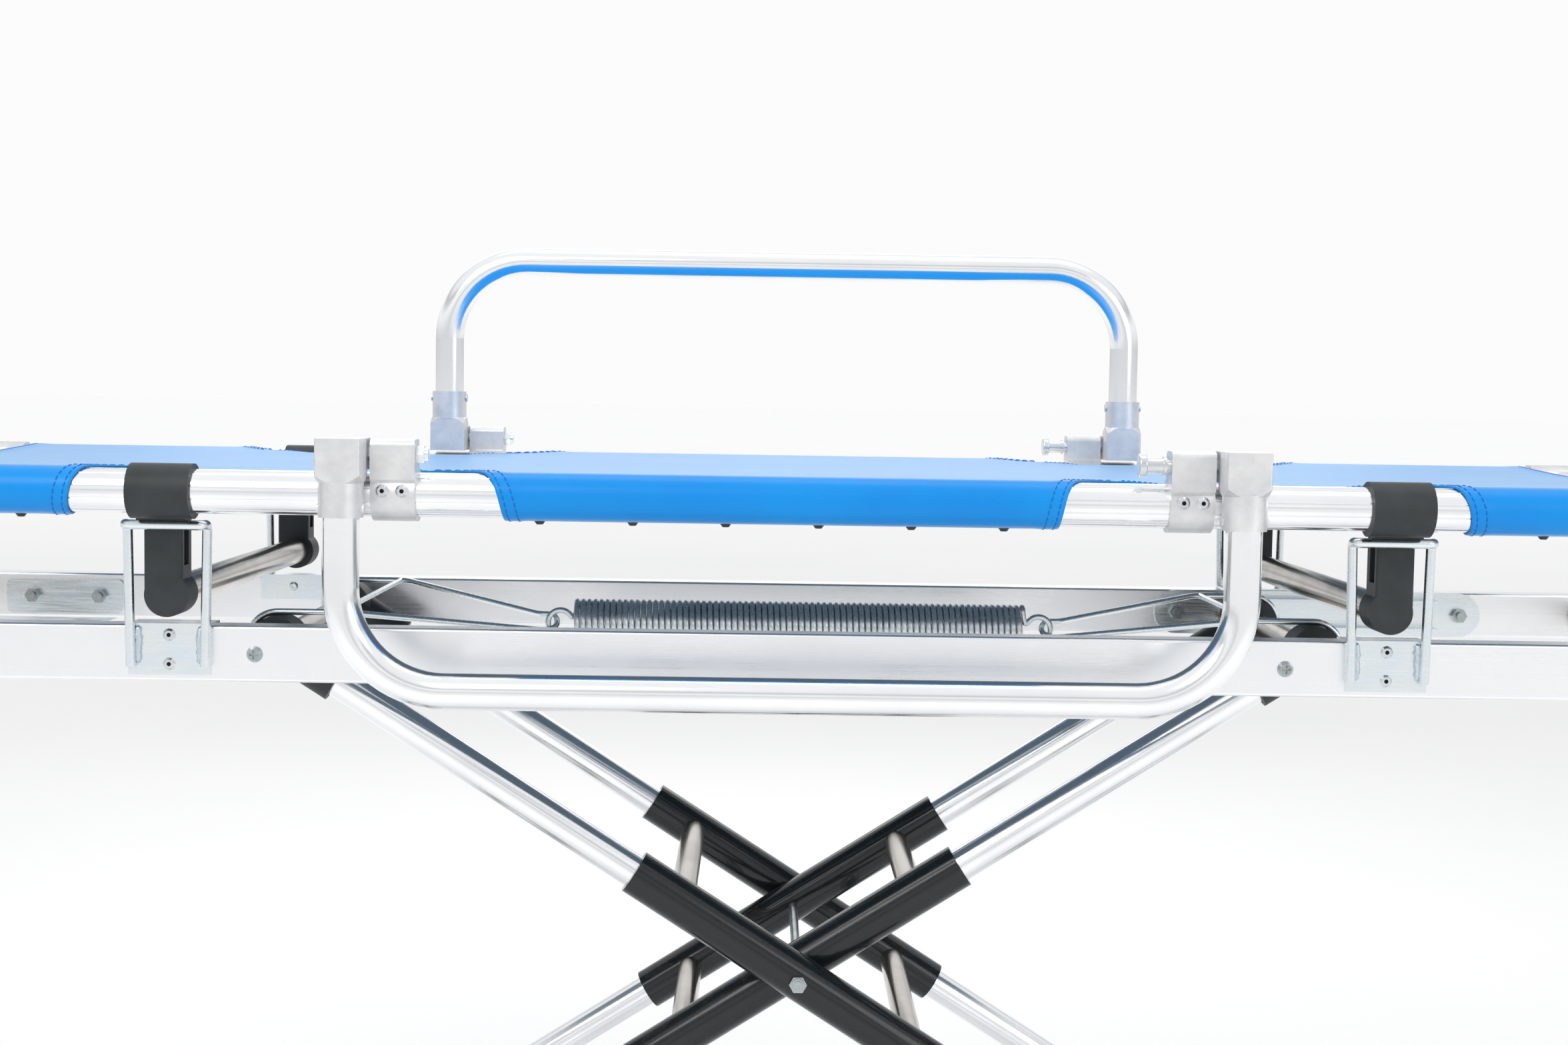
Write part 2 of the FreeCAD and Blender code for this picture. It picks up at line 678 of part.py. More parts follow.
def loader_bracket(side):
    """The outer bracket that carries a loading wheel on a fixed stub axle under the rail."""
    y = side * RAIL_OUT_Y
    outline = [(BRACKET_TO, -110), (BRACKET_FROM, -110), (LOADER_X - 16, LOADER_Z + 4)]
    outline += [(LOADER_X - 10, LOADER_Z - 14), (LOADER_X + 10, LOADER_Z - 14), (BRACKET_TO, -150)]
    body = prism([V(x, y, z) for x, z in outline], V(0, side * BRACKET_THICK, 0))
    axle = rod(V(LOADER_X, y, LOADER_Z), V(LOADER_X, side * (RAIL_IN_Y - 6), LOADER_Z), AXLE_BOLT_R)
    cap_start = V(LOADER_X, side * (RAIL_IN_Y - 2), LOADER_Z)
    cap = rod(cap_start, cap_start - V(0, side * 5, 0), 8)
    body = body.fuse([axle, cap])
    for x in BRACKET_BOLTS:
        body = body.cut(rod(V(x, y, PIVOT_Z), V(x, y + side * BRACKET_THICK, PIVOT_Z), SCREW_R))
    return body


def backing_plate(side):
    """The plate inside the rail's inner face that the bracket's bolts pull against."""
    y = side * RAIL_IN_Y
    body = block(BRACKET_FROM, BRACKET_TO, y, y - side * BACKING_THICK, -148, -114)
    body = round_edges(body, 6, Y_AXIS)
    for x in BRACKET_BOLTS:
        body = body.cut(rod(V(x, y, PIVOT_Z), V(x, y - side * BACKING_THICK, PIVOT_Z), SCREW_R))
    return body


def loading_wheel(side):
    """A small solid wheel with a wide tread, a thin web and a hub."""
    y = side * (RAIL_IN_Y + RAIL_OUT_Y) / 2
    half = LOADER_WIDE / 2
    bore = AXLE_BOLT_R + RUN_CLEARANCE
    outline = [(bore, -half), (14, -half), (14, -5), (33, -5), (33, -half), (LOADER_R - 3, -half)]
    outline += [(LOADER_R, -half + 3), (LOADER_R, half - 3), (LOADER_R - 3, half), (33, half)]
    outline += [(33, 5), (14, 5), (14, half), (bore, half)]
    points = [V(LOADER_X, y + across, LOADER_Z + r) for r, across in outline]
    return turned(points, V(LOADER_X, y, LOADER_Z), Y_AXIS)


def rail_cross_tube(end):
    """A tube between the rails with a round flange at each end."""
    x = end * RAIL_CROSS_X
    body = pipe(V(x, -RAIL_IN_Y, PIVOT_Z), V(x, RAIL_IN_Y, PIVOT_Z), CROSS_R, CROSS_R - CROSS_WALL)
    for side in SIDES.values():
        face = V(x, side * RAIL_IN_Y, PIVOT_Z)
        inner = face - V(0, side * FLANGE_THICK, 0)
        body = body.fuse(pipe(face, inner, FLANGE_R, CROSS_R - CROSS_WALL))
    return body


# ---------------------------------------------------------------- spring and yokes


def spring_body():
    """The close-wound spring as a ribbed sleeve: one rounded rib for each coil."""
    pitch = 2 * SPRING_HALF / SPRING_COILS
    bore = SPRING_R - 1.2
    edges = []
    left = FRAME_X - SPRING_HALF
    mean = SPRING_Z + SPRING_R
    last = V(left, 0, mean)
    for k in range(SPRING_COILS):
        middle = left + pitch * (k + 0.5)
        start = V(middle - SPRING_WIRE, 0, mean)
        end = V(middle + SPRING_WIRE, 0, mean)
        edges.append(Part.LineSegment(last, start).toShape())
        edges.append(Part.Arc(start, V(middle, 0, mean + SPRING_WIRE), end).toShape())
        last = end
    right = FRAME_X + SPRING_HALF
    for point in (V(right, 0, mean), V(right, 0, SPRING_Z + bore), V(left, 0, SPRING_Z + bore)):
        edges.append(Part.LineSegment(last, point).toShape())
        last = point
    edges.append(Part.LineSegment(last, V(left, 0, mean)).toShape())
    return Part.Face(Part.Wire(edges)).revolve(V(0, 0, SPRING_Z), X_AXIS, 360)


def spring_hook(end):
    """The end loop of the spring and the short wire that joins it to the last coil."""
    x = FRAME_X + end * HOOK_AT
    loop = Part.makeTorus(HOOK_R, SPRING_WIRE, V(x, 0, SPRING_Z), Y_AXIS)
    stem_x = FRAME_X + end * (SPRING_HALF + SPRING_WIRE + 0.1)
    stem = rod(V(stem_x, 0, SPRING_Z + HOOK_R - 4), V(stem_x, 0, SPRING_Z + SPRING_R), SPRING_WIRE)
    return loop.fuse(stem)


def yoke_arm(end, side, boss_x, wire_y):
    """Half of a yoke: from its bight in the spring's loop, out to a leg, and over a boss as a hook."""
    apex_x = FRAME_X + end * (HOOK_AT + YOKE_APEX)
    over = BOSS_R + YOKE_WIRE + RUN_CLEARANCE
    top = PIVOT_Z + over
    spread = side * YOKE_SPREAD
    points = [V(apex_x, 0, SPRING_Z), V(apex_x, spread, SPRING_Z + spread)]
    points += [V(apex_x + end * YOKE_STRAIGHT, spread, SPRING_Z + spread)]
    points += [V(boss_x - end * 55, side * wire_y, top), V(boss_x + end * over, side * wire_y, top)]
    points += [V(boss_x + end * over, side * wire_y, PIVOT_Z - 6)]
    return swept(rounded_path(points, [YOKE_BEND, 12, 30, over - 0.5]), YOKE_WIRE)


def yoke(end, boss_x, wire_y):
    """Both arms and the thin brace that crosses between them near the bosses, as one bent wire part."""
    arms = [yoke_arm(end, side, boss_x, wire_y) for side in SIDES.values()]
    x = boss_x - end * 50
    z = PIVOT_Z + BOSS_R + YOKE_WIRE
    brace = rod(V(x, -wire_y, z), V(x, wire_y, z), BRACE_WIRE)
    return arms[0].fuse([arms[1], brace])


# ---------------------------------------------------------------- scissor legs


def leg_point(lean, along, y):
    """A point on a leg's axis: along is measured from the crossing, downwards to the foot end
    for the outer legs (lean 1) and downwards to the head end for the inner legs (lean -1)."""
    x = FRAME_X + lean * along * math.cos(LEG_ANGLE)
    return V(x, y, CROSS_Z - along * math.sin(LEG_ANGLE))


def leg_span(lean, y, start, end, radius):
    return rod(leg_point(lean, start, y), leg_point(lean, end, y), radius)


def bolt_hole(y, radius):
    return rod(V(FRAME_X, y - 25, CROSS_Z), V(FRAME_X, y + 25, CROSS_Z), radius)


def leg_tube(lean, y, hole):
    reach = LEG_HALF - LEG_GAP
    body = leg_span(lean, y, -reach, reach, LEG_R).cut(leg_span(lean, y, -reach, reach, LEG_BORE))
    return body.cut(bolt_hole(y, hole))


def leg_sleeve(lean, y, hole):
    body = leg_span(lean, y, -SLEEVE_HALF, SLEEVE_HALF, SLEEVE_R)
    body = body.cut(leg_span(lean, y, -SLEEVE_HALF, SLEEVE_HALF, LEG_R))
    return body.cut(bolt_hole(y, hole))


def leg_fitting(lean, y, end, bore):
    """The black moulding at one end of a leg: a round boss on the axle and a socket for the tube."""
    centre = leg_point(lean, end * LEG_HALF, y)
    half = V(0, BOSS_WIDE / 2, 0)
    boss = rod(centre - half, centre + half, BOSS_R)
    socket = leg_span(lean, y, end * (LEG_HALF - FITTING_LONG), end * LEG_HALF, SLEEVE_R)
    body = boss.fuse(socket)
    body = body.cut(leg_span(lean, y, end * (LEG_HALF - SOCKET_DEEP), end * (LEG_HALF - LEG_GAP), LEG_R))
    reach = V(0, SLEEVE_R + 1, 0)
    return body.cut(rod(centre - reach, centre + reach, bore)).removeSplitter()


def leg_brace(lean, y, along):
    """A cross tube between the two legs of a pair, shaped to meet their sleeves."""
    start = leg_point(lean, along, -y)
    end = leg_point(lean, along, y)
    body = pipe(start, end, BRACE_R, BRACE_BORE)
    for leg_y in (-y, y):
        body = body.cut(leg_span(lean, leg_y, -SLEEVE_HALF, SLEEVE_HALF, SLEEVE_R))
    return body


def cross_bolt():
    """The long bolt through all four legs, with a locknut and a bare end of thread at each side."""
    face = OUTER_Y + SLEEVE_R + 0.1
    nut_face = face + NUT_LONG
    reach = nut_face + COLLAR_LONG + 1
    body = rod(V(FRAME_X, -reach, CROSS_Z), V(FRAME_X, reach, CROSS_Z), BOLT_R)
    for side in SIDES.values():
        centre = V(FRAME_X, side * face, CROSS_Z)
        outer = V(FRAME_X, side * nut_face, CROSS_Z)
        collar = rod(outer, outer + Y_AXIS * side * COLLAR_LONG, COLLAR_R)
        body = body.fuse([hexagon(centre, NUT_R, Y_AXIS * side * NUT_LONG), collar])
    return body


def sliding_axle(x, z):
    """A tubular axle with a round slide roller plugged into each end."""
    axle = pipe(V(x, -ROLLER_IN_Y, z), V(x, ROLLER_IN_Y, z), AXLE_R, AXLE_BORE)
    pieces = [axle]
    for side in SIDES.values():
        face = V(x, side * ROLLER_IN_Y, z)
        puck = rod(face, V(x, side * ROLLER_OUT_Y, z), ROLLER_R)
        spigot = rod(face - V(0, side * 18, 0), face, AXLE_BORE)
        pieces.append(puck.fuse(spigot))
    return pieces


# ---------------------------------------------------------------- base and castors


def base_rail(side):
    """A channel that opens inwards; the foot-end rollers run in it."""
    outer = side * BASE_WALL_Y
    back = side * (BASE_WALL_Y - GUIDE_PLATE)
    lip = side * GUIDE_LIP_Y
    low = BASE_Z - GUIDE_HALF_TALL
    top = BASE_Z + GUIDE_HALF_TALL
    body = block(BASE_HEAD, BASE_FOOT, outer, lip, low, top)
    slot = block(BASE_HEAD, BASE_FOOT, back, lip, BASE_Z - GUIDE_HALF_GAP, BASE_Z + GUIDE_HALF_GAP)
    return body.cut(slot)


def base_cross_tube(x):
    reach = BASE_WALL_Y - GUIDE_PLATE
    return pipe(V(x, -reach, BASE_Z), V(x, reach, BASE_Z), CROSS_R, CROSS_R - CROSS_WALL)


def base_axle():
    reach = BASE_WALL_Y - GUIDE_PLATE
    return rod(V(HEAD_PIVOT_X, -reach, BASE_Z), V(HEAD_PIVOT_X, reach, BASE_Z), AXLE_R)


def castor_plate(x, y):
    """The fixed plate under a base rail, with the kingpin that the fork turns on."""
    top = FLOOR_Z + CASTOR_TALL
    low = top - CASTOR_PLATE
    plate = block(x - 30, x + 30, y - 26, y + 26, low, top)
    plate = round_edges(plate, 6, Z_AXIS)
    pin = rod(V(x, y, low), V(x, y, top - 26), KINGPIN_R)
    nut = rod(V(x, y, top - 21.5), V(x, y, top - 27), 9)
    return plate.fuse([pin, nut])


def castor_fork(x, y):
    """The swivelling fork with its wheel bolt; the wheel trails towards the head end."""
    top = FLOOR_Z + CASTOR_TALL - CASTOR_PLATE - 1
    low = top - CROWN_TALL
    crown = rod(V(x, y, top), V(x, y, low), CROWN_R)
    hub_z = FLOOR_Z + WHEEL_R
    wheel_x = x - TRAIL
    reach = FORK_HALF + FORK_PLATE
    bridge = block(x - FORK_BACK, x + FORK_FRONT, y - reach, y + reach, low - 8, low)
    body = crown.fuse(bridge)
    for flank in (-1, 1):
        inner = y + flank * FORK_HALF
        outline = [(x + FORK_FRONT, top - 10), (x - FORK_BACK, top - 10), (wheel_x - 12, hub_z)]
        outline += [(wheel_x - 8, hub_z - 10), (wheel_x + 8, hub_z - 10), (wheel_x + 12, hub_z)]
        body = body.fuse(prism([V(px, inner, pz) for px, pz in outline], V(0, flank * FORK_PLATE, 0)))
    bolt = rod(V(wheel_x, y - reach - 3, hub_z), V(wheel_x, y + reach + 3, hub_z), AXLE_BOLT_R)
    body = body.fuse(bolt)
    bearing = rod(V(x, y, top + 1), V(x, y, top - 17), KINGPIN_R + RUN_CLEARANCE)
    recess = rod(V(x, y, top - 16.4), V(x, y, top - 30), 9.4)
    return body.cut([bearing, recess]).removeSplitter()


def castor_wheel(x, y):
    """A wheel with a rounded tread, a recessed web and a hub."""
    hub_z = FLOOR_Z + WHEEL_R
    wheel_x = x - TRAIL
    half = WHEEL_WIDE / 2
    bore = AXLE_BOLT_R + RUN_CLEARANCE
    outline = [(bore, -half - 2), (15, -half - 2), (17, -7), (44, -7), (47, -half), (WHEEL_R - 7, -half)]
    outline += [(WHEEL_R - 2, -half + 4), (WHEEL_R, -3), (WHEEL_R, 3), (WHEEL_R - 2, half - 4)]
    outline += [(WHEEL_R - 7, half), (47, half), (44, 7), (17, 7), (15, half + 2), (bore, half + 2)]
    points = [V(wheel_x, y + across, hub_z + r) for r, across in outline]
    return turned(points, V(wheel_x, y, hub_z), Y_AXIS)


# ---------------------------------------------------------------- assembly


def each_side_and_end(make):
    return [make(side, end) for side in SIDES.values() for end in ENDS.values()]


def at_each_clamp(make):
    return [make(side, end) for side in SIDES.values() for end in CLAMP_X]


def litter_nodes():
    nodes = {}
    for name, side in SIDES.items():
        nodes["side_tube_" + name] = side_tube(side)
        nodes["plunger_" + name] = plunger(side)
        raised = name == "left"
        nodes["guard_rail_" + name] = guard_rail(side, raised)
        blocks = [guard_block(side, raised, end) for end in ENDS.values()]
        nodes["guard_blocks_" + name] = group(blocks)
    nodes["end_grips"] = group(each_side_and_end(end_grip))
    nodes["end_spreaders"] = group([end_spreader(end) for end in ENDS.values()])
    nodes["spreader_sockets"] = group(each_side_and_end(spreader_socket))
    nodes["cover"] = cover()
    nodes["cover_rivets"] = cover_rivets()
    nodes["arm_clamps"] = group(at_each_clamp(arm_clamp))
    nodes["litter_cross_tubes"] = group([litter_cross_tube(end) for end in CLAMP_X])
    nodes["guard_saddles"] = group(each_side_and_end(guard_saddle))
    nodes["hinge_pins"] = group([hinge_pin(side) for side in SIDES.values()])
    nodes["saddle_rivets"] = saddle_rivets()
    return nodes


def undercarriage_nodes():
    nodes = {}
    for name, side in SIDES.items():
        nodes["rail_" + name] = rail(side)
        nodes["loading_wheel_" + name] = loading_wheel(side)
    nodes["rail_caps"] = group(each_side_and_end(rail_cap))
    nodes["stirrups"] = group(at_each_clamp(stirrup))
    nodes["stirrup_plates"] = group(at_each_clamp(stirrup_plate))
    nodes["stirrup_rivets"] = stirrup_rivets()
    nodes["pivot_axle"] = pivot_axle()
    nodes["pivot_screws"] = group([pivot_screw(side) for side in SIDES.values()])
    nodes["slider_guides"] = group([slider_guide(side) for side in SIDES.values()])
    bolts = [guide_bolt(x, side) for x in (GUIDE_FROM, GUIDE_TO) for side in SIDES.values()]
    bolts += [bracket_bolt(x, side) for x in BRACKET_BOLTS for side in SIDES.values()]
    nodes["rail_bolts"] = group(bolts)
    nodes["loader_brackets"] = group([loader_bracket(side) for side in SIDES.values()])
    nodes["backing_plates"] = group([backing_plate(side) for side in SIDES.values()])
    nodes["rail_cross_tubes"] = group([rail_cross_tube(end) for end in ENDS.values()])
    nodes["spring"] = group([spring_body(), spring_hook(-1)])
    nodes["spring_hook"] = spring_hook(1)
    nodes["yoke_head"] = yoke(-1, HEAD_PIVOT_X, OUTER_Y)
    nodes["yoke_foot"] = yoke(1, FOOT_PIVOT_X, INNER_Y)
    return nodes


def leg_nodes():
    nodes = {}
    pairs = {"outer": (1, OUTER_Y, BOLT_R), "inner": (-1, INNER_Y, BOLT_R + RUN_CLEARANCE)}
    for name, (lean, leg_y, hole) in pairs.items():
        ys = (-leg_y, leg_y)
        nodes[name + "_leg_tubes"] = group([leg_tube(lean, y, hole) for y in ys])
        nodes[name + "_leg_sleeves"] = group([leg_sleeve(lean, y, hole) for y in ys])
        fittings = []
        for y in ys:
            for end in (-1, 1):
                runs = end * lean < 0
                fittings.append(leg_fitting(lean, y, end, AXLE_R + RUN_CLEARANCE if runs else AXLE_R))
        nodes[name + "_leg_fittings"] = group(fittings)
        nodes[name + "_leg_braces"] = group([leg_brace(lean, leg_y, s * BRACE_AT) for s in (-1, 1)])
    nodes["cross_bolt"] = cross_bolt()
    nodes["sliding_axle_top"] = group(sliding_axle(FOOT_PIVOT_X, PIVOT_Z))
    nodes["sliding_axle_bottom"] = group(sliding_axle(FOOT_PIVOT_X, BASE_Z))
    return nodes


def base_nodes():
    nodes = {}
    nodes["base_rails"] = group([base_rail(side) for side in SIDES.values()])
    nodes["base_cross_tubes"] = group([base_cross_tube(x) for x in CASTOR_X])
    nodes["base_axle"] = base_axle()
    places = {}
    for end, x in zip(ENDS, CASTOR_X):
        for name, side in SIDES.items():
            places[end + "_" + name] = (x, side * CASTOR_Y)
    nodes["castor_plates"] = group([castor_plate(x, y) for x, y in places.values()])
    for name, (x, y) in places.items():
        nodes["castor_fork_" + name] = castor_fork(x, y)
        nodes["castor_wheel_" + name] = castor_wheel(x, y)
    return nodes


def main():
    os.makedirs("parts", exist_ok=True)
    nodes = {}
    for make in (litter_nodes, undercarriage_nodes, leg_nodes, base_nodes):
        nodes.update(make())
    whole = group(list(nodes.values())).optimalBoundingBox(False, False)
    shift = V(-(whole.XMin + whole.XMax) / 2, -(whole.YMin + whole.YMax) / 2, -whole.ZMin)
    for name, shape in nodes.items():
        shape.translate(shift)
        shape.exportStep("parts/" + name + ".step")
    print("nodes", len(nodes), "shift", shift, "size", whole.XLength, whole.YLength, whole.ZLength)


main()
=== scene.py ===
import json
import math

import bpy
import numpy as np
from mathutils import Matrix, Vector, noise


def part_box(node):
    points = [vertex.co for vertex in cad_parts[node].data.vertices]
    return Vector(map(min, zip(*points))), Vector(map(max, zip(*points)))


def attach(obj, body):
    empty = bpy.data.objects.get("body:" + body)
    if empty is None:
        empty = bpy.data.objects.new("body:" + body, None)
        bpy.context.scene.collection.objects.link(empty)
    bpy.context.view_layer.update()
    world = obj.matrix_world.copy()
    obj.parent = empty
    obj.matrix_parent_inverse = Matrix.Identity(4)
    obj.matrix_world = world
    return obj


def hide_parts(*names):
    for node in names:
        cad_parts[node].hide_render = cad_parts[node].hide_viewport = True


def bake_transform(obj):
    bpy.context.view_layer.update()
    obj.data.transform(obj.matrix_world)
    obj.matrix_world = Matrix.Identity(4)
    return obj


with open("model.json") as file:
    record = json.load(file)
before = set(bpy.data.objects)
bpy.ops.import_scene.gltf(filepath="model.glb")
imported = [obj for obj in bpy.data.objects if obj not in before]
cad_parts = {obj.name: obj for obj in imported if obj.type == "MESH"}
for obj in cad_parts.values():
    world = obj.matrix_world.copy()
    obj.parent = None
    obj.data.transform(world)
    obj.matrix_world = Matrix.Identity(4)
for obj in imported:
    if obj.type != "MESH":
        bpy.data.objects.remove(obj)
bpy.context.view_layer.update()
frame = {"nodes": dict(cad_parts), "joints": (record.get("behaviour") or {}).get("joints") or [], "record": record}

# Places read from the frame, in metres. Sizes of small drawn details are in millimetres times MM.
MM = 0.001
TUBE_LOW, TUBE_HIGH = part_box("side_tube_right")
LEFT_LOW, LEFT_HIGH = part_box("side_tube_left")
AXIS_Z = (TUBE_LOW.z + TUBE_HIGH.z) / 2
RIGHT_Y = (TUBE_LOW.y + TUBE_HIGH.y) / 2
LEFT_Y = (LEFT_LOW.y + LEFT_HIGH.y) / 2
MID_Y = (RIGHT_Y + LEFT_Y) / 2
HALF_Y = (LEFT_Y - RIGHT_Y) / 2
JOINTS = {joint["name"]: joint for joint in frame["joints"]}


# ---------------------------------------------------------------- node materials


class Paint:
    """A node material built step by step around one principled shader."""

    def __init__(self, name, **inputs):
        self.material = bpy.data.materials.new(name)
        self.material.use_nodes = True
        self.tree = self.material.node_tree
        self.shader = self.tree.nodes["Principled BSDF"]
        self.place = self.node("ShaderNodeTexCoord").outputs["Object"]
        for key, value in inputs.items():
            self.shader.inputs[key.replace("_", " ")].default_value = value

    def node(self, kind, **settings):
        made = self.tree.nodes.new(kind)
        for key, value in settings.items():
            setattr(made, key, value)
        return made

    def link(self, source, target):
        self.tree.links.new(source, target)

    def scaled(self, scale, rotation=(0, 0, 0)):
        """The object coordinates, turned about the origin and then stretched."""
        turned = self.node("ShaderNodeMapping", vector_type="TEXTURE")
        turned.inputs["Rotation"].default_value = rotation
        self.link(self.place, turned.inputs["Vector"])
        stretched = self.node("ShaderNodeMapping")
        stretched.inputs["Scale"].default_value = scale
        self.link(turned.outputs["Vector"], stretched.inputs["Vector"])
        return stretched.outputs["Vector"]

    def noise(self, scale, detail, rotation=(0, 0, 0)):
        """Cloudy noise from 0 to 1; scale is its grains a metre along x, y and z."""
        made = self.node("ShaderNodeTexNoise")
        made.inputs["Scale"].default_value = 1.0
        made.inputs["Detail"].default_value = detail
        made.inputs["Roughness"].default_value = 0.55
        self.link(self.scaled(scale, rotation), made.inputs["Vector"])
        return made.outputs["Fac"]

    def cells(self, scale):
        """The distance to the nearest of many scattered points; scale is their number a metre."""
        made = self.node("ShaderNodeTexVoronoi")
        made.inputs["Scale"].default_value = 1.0
        self.link(self.scaled((scale, scale, scale)), made.inputs["Vector"])
        return made.outputs["Distance"]

    def ramp(self, value, low, high, from_low=0.3, from_high=0.7):
        """The value stretched from one range to another, and held at its ends."""
        made = self.node("ShaderNodeMapRange")
        made.inputs["From Min"].default_value = from_low
        made.inputs["From Max"].default_value = from_high
        made.inputs["To Min"].default_value = low
        made.inputs["To Max"].default_value = high
        self.link(value, made.inputs["Value"])
        return made.outputs["Result"]

    def mix(self, factor, first, second):
        """Two colours mixed by a factor; each is a tuple or a colour socket."""
        made = self.node("ShaderNodeMix", data_type="RGBA")
        for socket, value in (("A", first), ("B", second)):
            target = [i for i in made.inputs if i.name == socket and i.type == "RGBA"][0]
            if isinstance(value, tuple):
                target.default_value = (*value, 1)
            else:
                self.link(value, target)
        self.link(factor, made.inputs["Factor"])
        return [o for o in made.outputs if o.type == "RGBA"][0]

    def bump(self, *layers):
        """Stacks bumps: each layer is a height socket, a strength and a depth in metres."""
        normal = None
        for height, strength, depth in layers:
            made = self.node("ShaderNodeBump")
            made.inputs["Strength"].default_value = strength
            made.inputs["Distance"].default_value = depth
            self.link(height, made.inputs["Height"])
            if normal:
                self.link(normal, made.inputs["Normal"])
            normal = made.outputs["Normal"]
        self.link(normal, self.shader.inputs["Normal"])

    def colour(self, socket):
        self.link(socket, self.shader.inputs["Base Color"])

    def rough(self, socket):
        self.link(socket, self.shader.inputs["Roughness"])


def drawn_metal(name, light, dark, rough, along=(0, 0, 0), streak=0.25):
    """Drawn or extruded metal: fine streaks along x, turned by the given rotation, and soft smudges."""
    paint = Paint(name, Metallic=1.0)
    lines = paint.noise((3, 900, 900), 2.0, along)
    smudge = paint.noise((14, 14, 14), 4.0)
    speck = paint.noise((420, 420, 420), 2.0)
    paint.colour(paint.mix(paint.ramp(smudge, 0, 1, 0.35, 0.7), light, dark))
    base = paint.node("ShaderNodeMath", operation="ADD")
    paint.link(paint.ramp(lines, rough * 0.85, rough * 1.15), base.inputs[0])
    paint.link(paint.ramp(smudge, -0.02, 0.04), base.inputs[1])
    paint.rough(base.outputs["Value"])
    paint.bump((lines, streak, 0.00001), (speck, 0.1, 0.000005))
    return paint.material


def cast_metal():
    paint = Paint("cast_aluminium", Metallic=0.9)
    grain = paint.noise((900, 900, 900), 4.0)
    pits = paint.cells(520)
    patch = paint.noise((55, 55, 55), 3.0)
    paint.colour(paint.mix(paint.ramp(patch, 0, 1), (0.82, 0.82, 0.82), (0.68, 0.68, 0.69)))
    paint.rough(paint.ramp(grain, 0.32, 0.52))
    paint.bump((patch, 0.5, 0.0003), (grain, 0.6, 0.00012), (pits, 0.35, 0.00008))
    return paint.material


def zinc_metal():
    """Bright zinc plate: a blue cast that drifts to straw, and a faint wipe pattern."""
    paint = Paint("zinc_steel", Metallic=1.0)
    drift = paint.noise((38, 38, 60), 3.0)
    wipe = paint.noise((30, 160, 700), 2.0)
    tint = paint.mix(paint.ramp(drift, 0, 1), (0.76, 0.84, 0.90), (0.83, 0.86, 0.86))
    paint.colour(paint.mix(paint.ramp(wipe, 0, 0.3), tint, (0.88, 0.91, 0.94)))
    paint.rough(paint.ramp(wipe, 0.2, 0.32))
    paint.bump((drift, 0.2, 0.0001), (wipe, 0.08, 0.00002))
    return paint.material


def wire_metal(name, light, dark, rough):
    paint = Paint(name, Metallic=1.0)
    smear = paint.noise((60, 60, 60), 3.0)
    fine = paint.noise((700, 700, 700), 2.0)
    paint.colour(paint.mix(paint.ramp(smear, 0, 1), light, dark))
    paint.rough(paint.ramp(fine, rough * 0.8, rough * 1.25))
    paint.bump((fine, 0.25, 0.00003))
    return paint.material


def moulded_plastic():
    """Black plastic with a spark-eroded texture that is duller on top of its grains."""
    paint = Paint("black_plastic", Specular_IOR_Level=0.45)
    grain = paint.noise((1500, 1500, 1500), 3.0)
    patch = paint.noise((40, 40, 40), 2.0)
    paint.colour(paint.mix(paint.ramp(patch, 0, 1), (0.017, 0.023, 0.024), (0.028, 0.034, 0.036)))
    paint.rough(paint.ramp(grain, 0.42, 0.62))
    paint.bump((grain, 0.5, 0.00008), (patch, 0.2, 0.0002))
    return paint.material


def gloss_sleeve():
    """Near-black extruded sleeve with faint draw lines along the leg under a gloss skin."""
    paint = Paint("black_sleeve", Coat_Weight=0.5, Coat_Roughness=0.04, Specular_IOR_Level=0.25)
    drawn = paint.noise((10, 260, 260), 2.0)
    dust = paint.cells(240)
    paint.colour(paint.mix(paint.ramp(dust, 1, 0, 0.0, 0.18), (0.007, 0.010, 0.011), (0.016, 0.020, 0.021)))
    paint.rough(paint.ramp(drawn, 0.16, 0.3))
    paint.bump((drawn, 0.25, 0.00006))
    return paint.material


def coated_cloth():
    """Blue coated fabric: a fine leather-like grain over a faint square weave, semi gloss."""
    paint = Paint("blue_cover", Coat_Weight=0.15, Coat_Roughness=0.25, Specular_IOR_Level=0.2,
                  Sheen_Weight=0.6, Sheen_Roughness=0.3, Sheen_Tint=(0.72, 0.92, 1, 1))
    grain = paint.cells(900)
    fine = paint.noise((1300, 1300, 1300), 2.0)
    broad = paint.noise((9, 9, 9), 3.0)
    tint = paint.mix(paint.ramp(broad, 0, 1), (0.0, 0.24, 0.70), (0.0, 0.28, 0.76))
    paint.colour(paint.mix(paint.ramp(grain, 0.16, 0, 0.0, 0.5), tint, (0.0, 0.15, 0.58)))
    paint.rough(paint.ramp(fine, 0.30, 0.42))
    weave = []
    for axis in (0, 1):
        wave = paint.node("ShaderNodeTexWave", bands_direction="XY"[axis])
        wave.inputs["Scale"].default_value = 1.0
        paint.link(paint.scaled((180, 180, 180)), wave.inputs["Vector"])
        weave.append((wave.outputs["Fac"], 0.08, 0.00004))
    paint.bump(*weave, (grain, 0.35, 0.00009), (fine, 0.15, 0.00004))
    return paint.material


def shaded_cloth_back():
    """The cover's uncoated underside: a matt grey-blue, kept dark as painted shade for the shadow under the cover.
    """
    paint = Paint("cover_back_shade", Roughness=0.85, Specular_IOR_Level=0.2)
    knit = paint.noise((700, 700, 700), 3.0)
    # Painted shade: these colours are darker than the cloth's own, to stand in for the shadow under the cover.
    paint.colour(paint.mix(paint.ramp(knit, 0, 1), (0.10, 0.15, 0.20), (0.15, 0.20, 0.26)))
    paint.bump((knit, 0.6, 0.00015))
    return paint.material


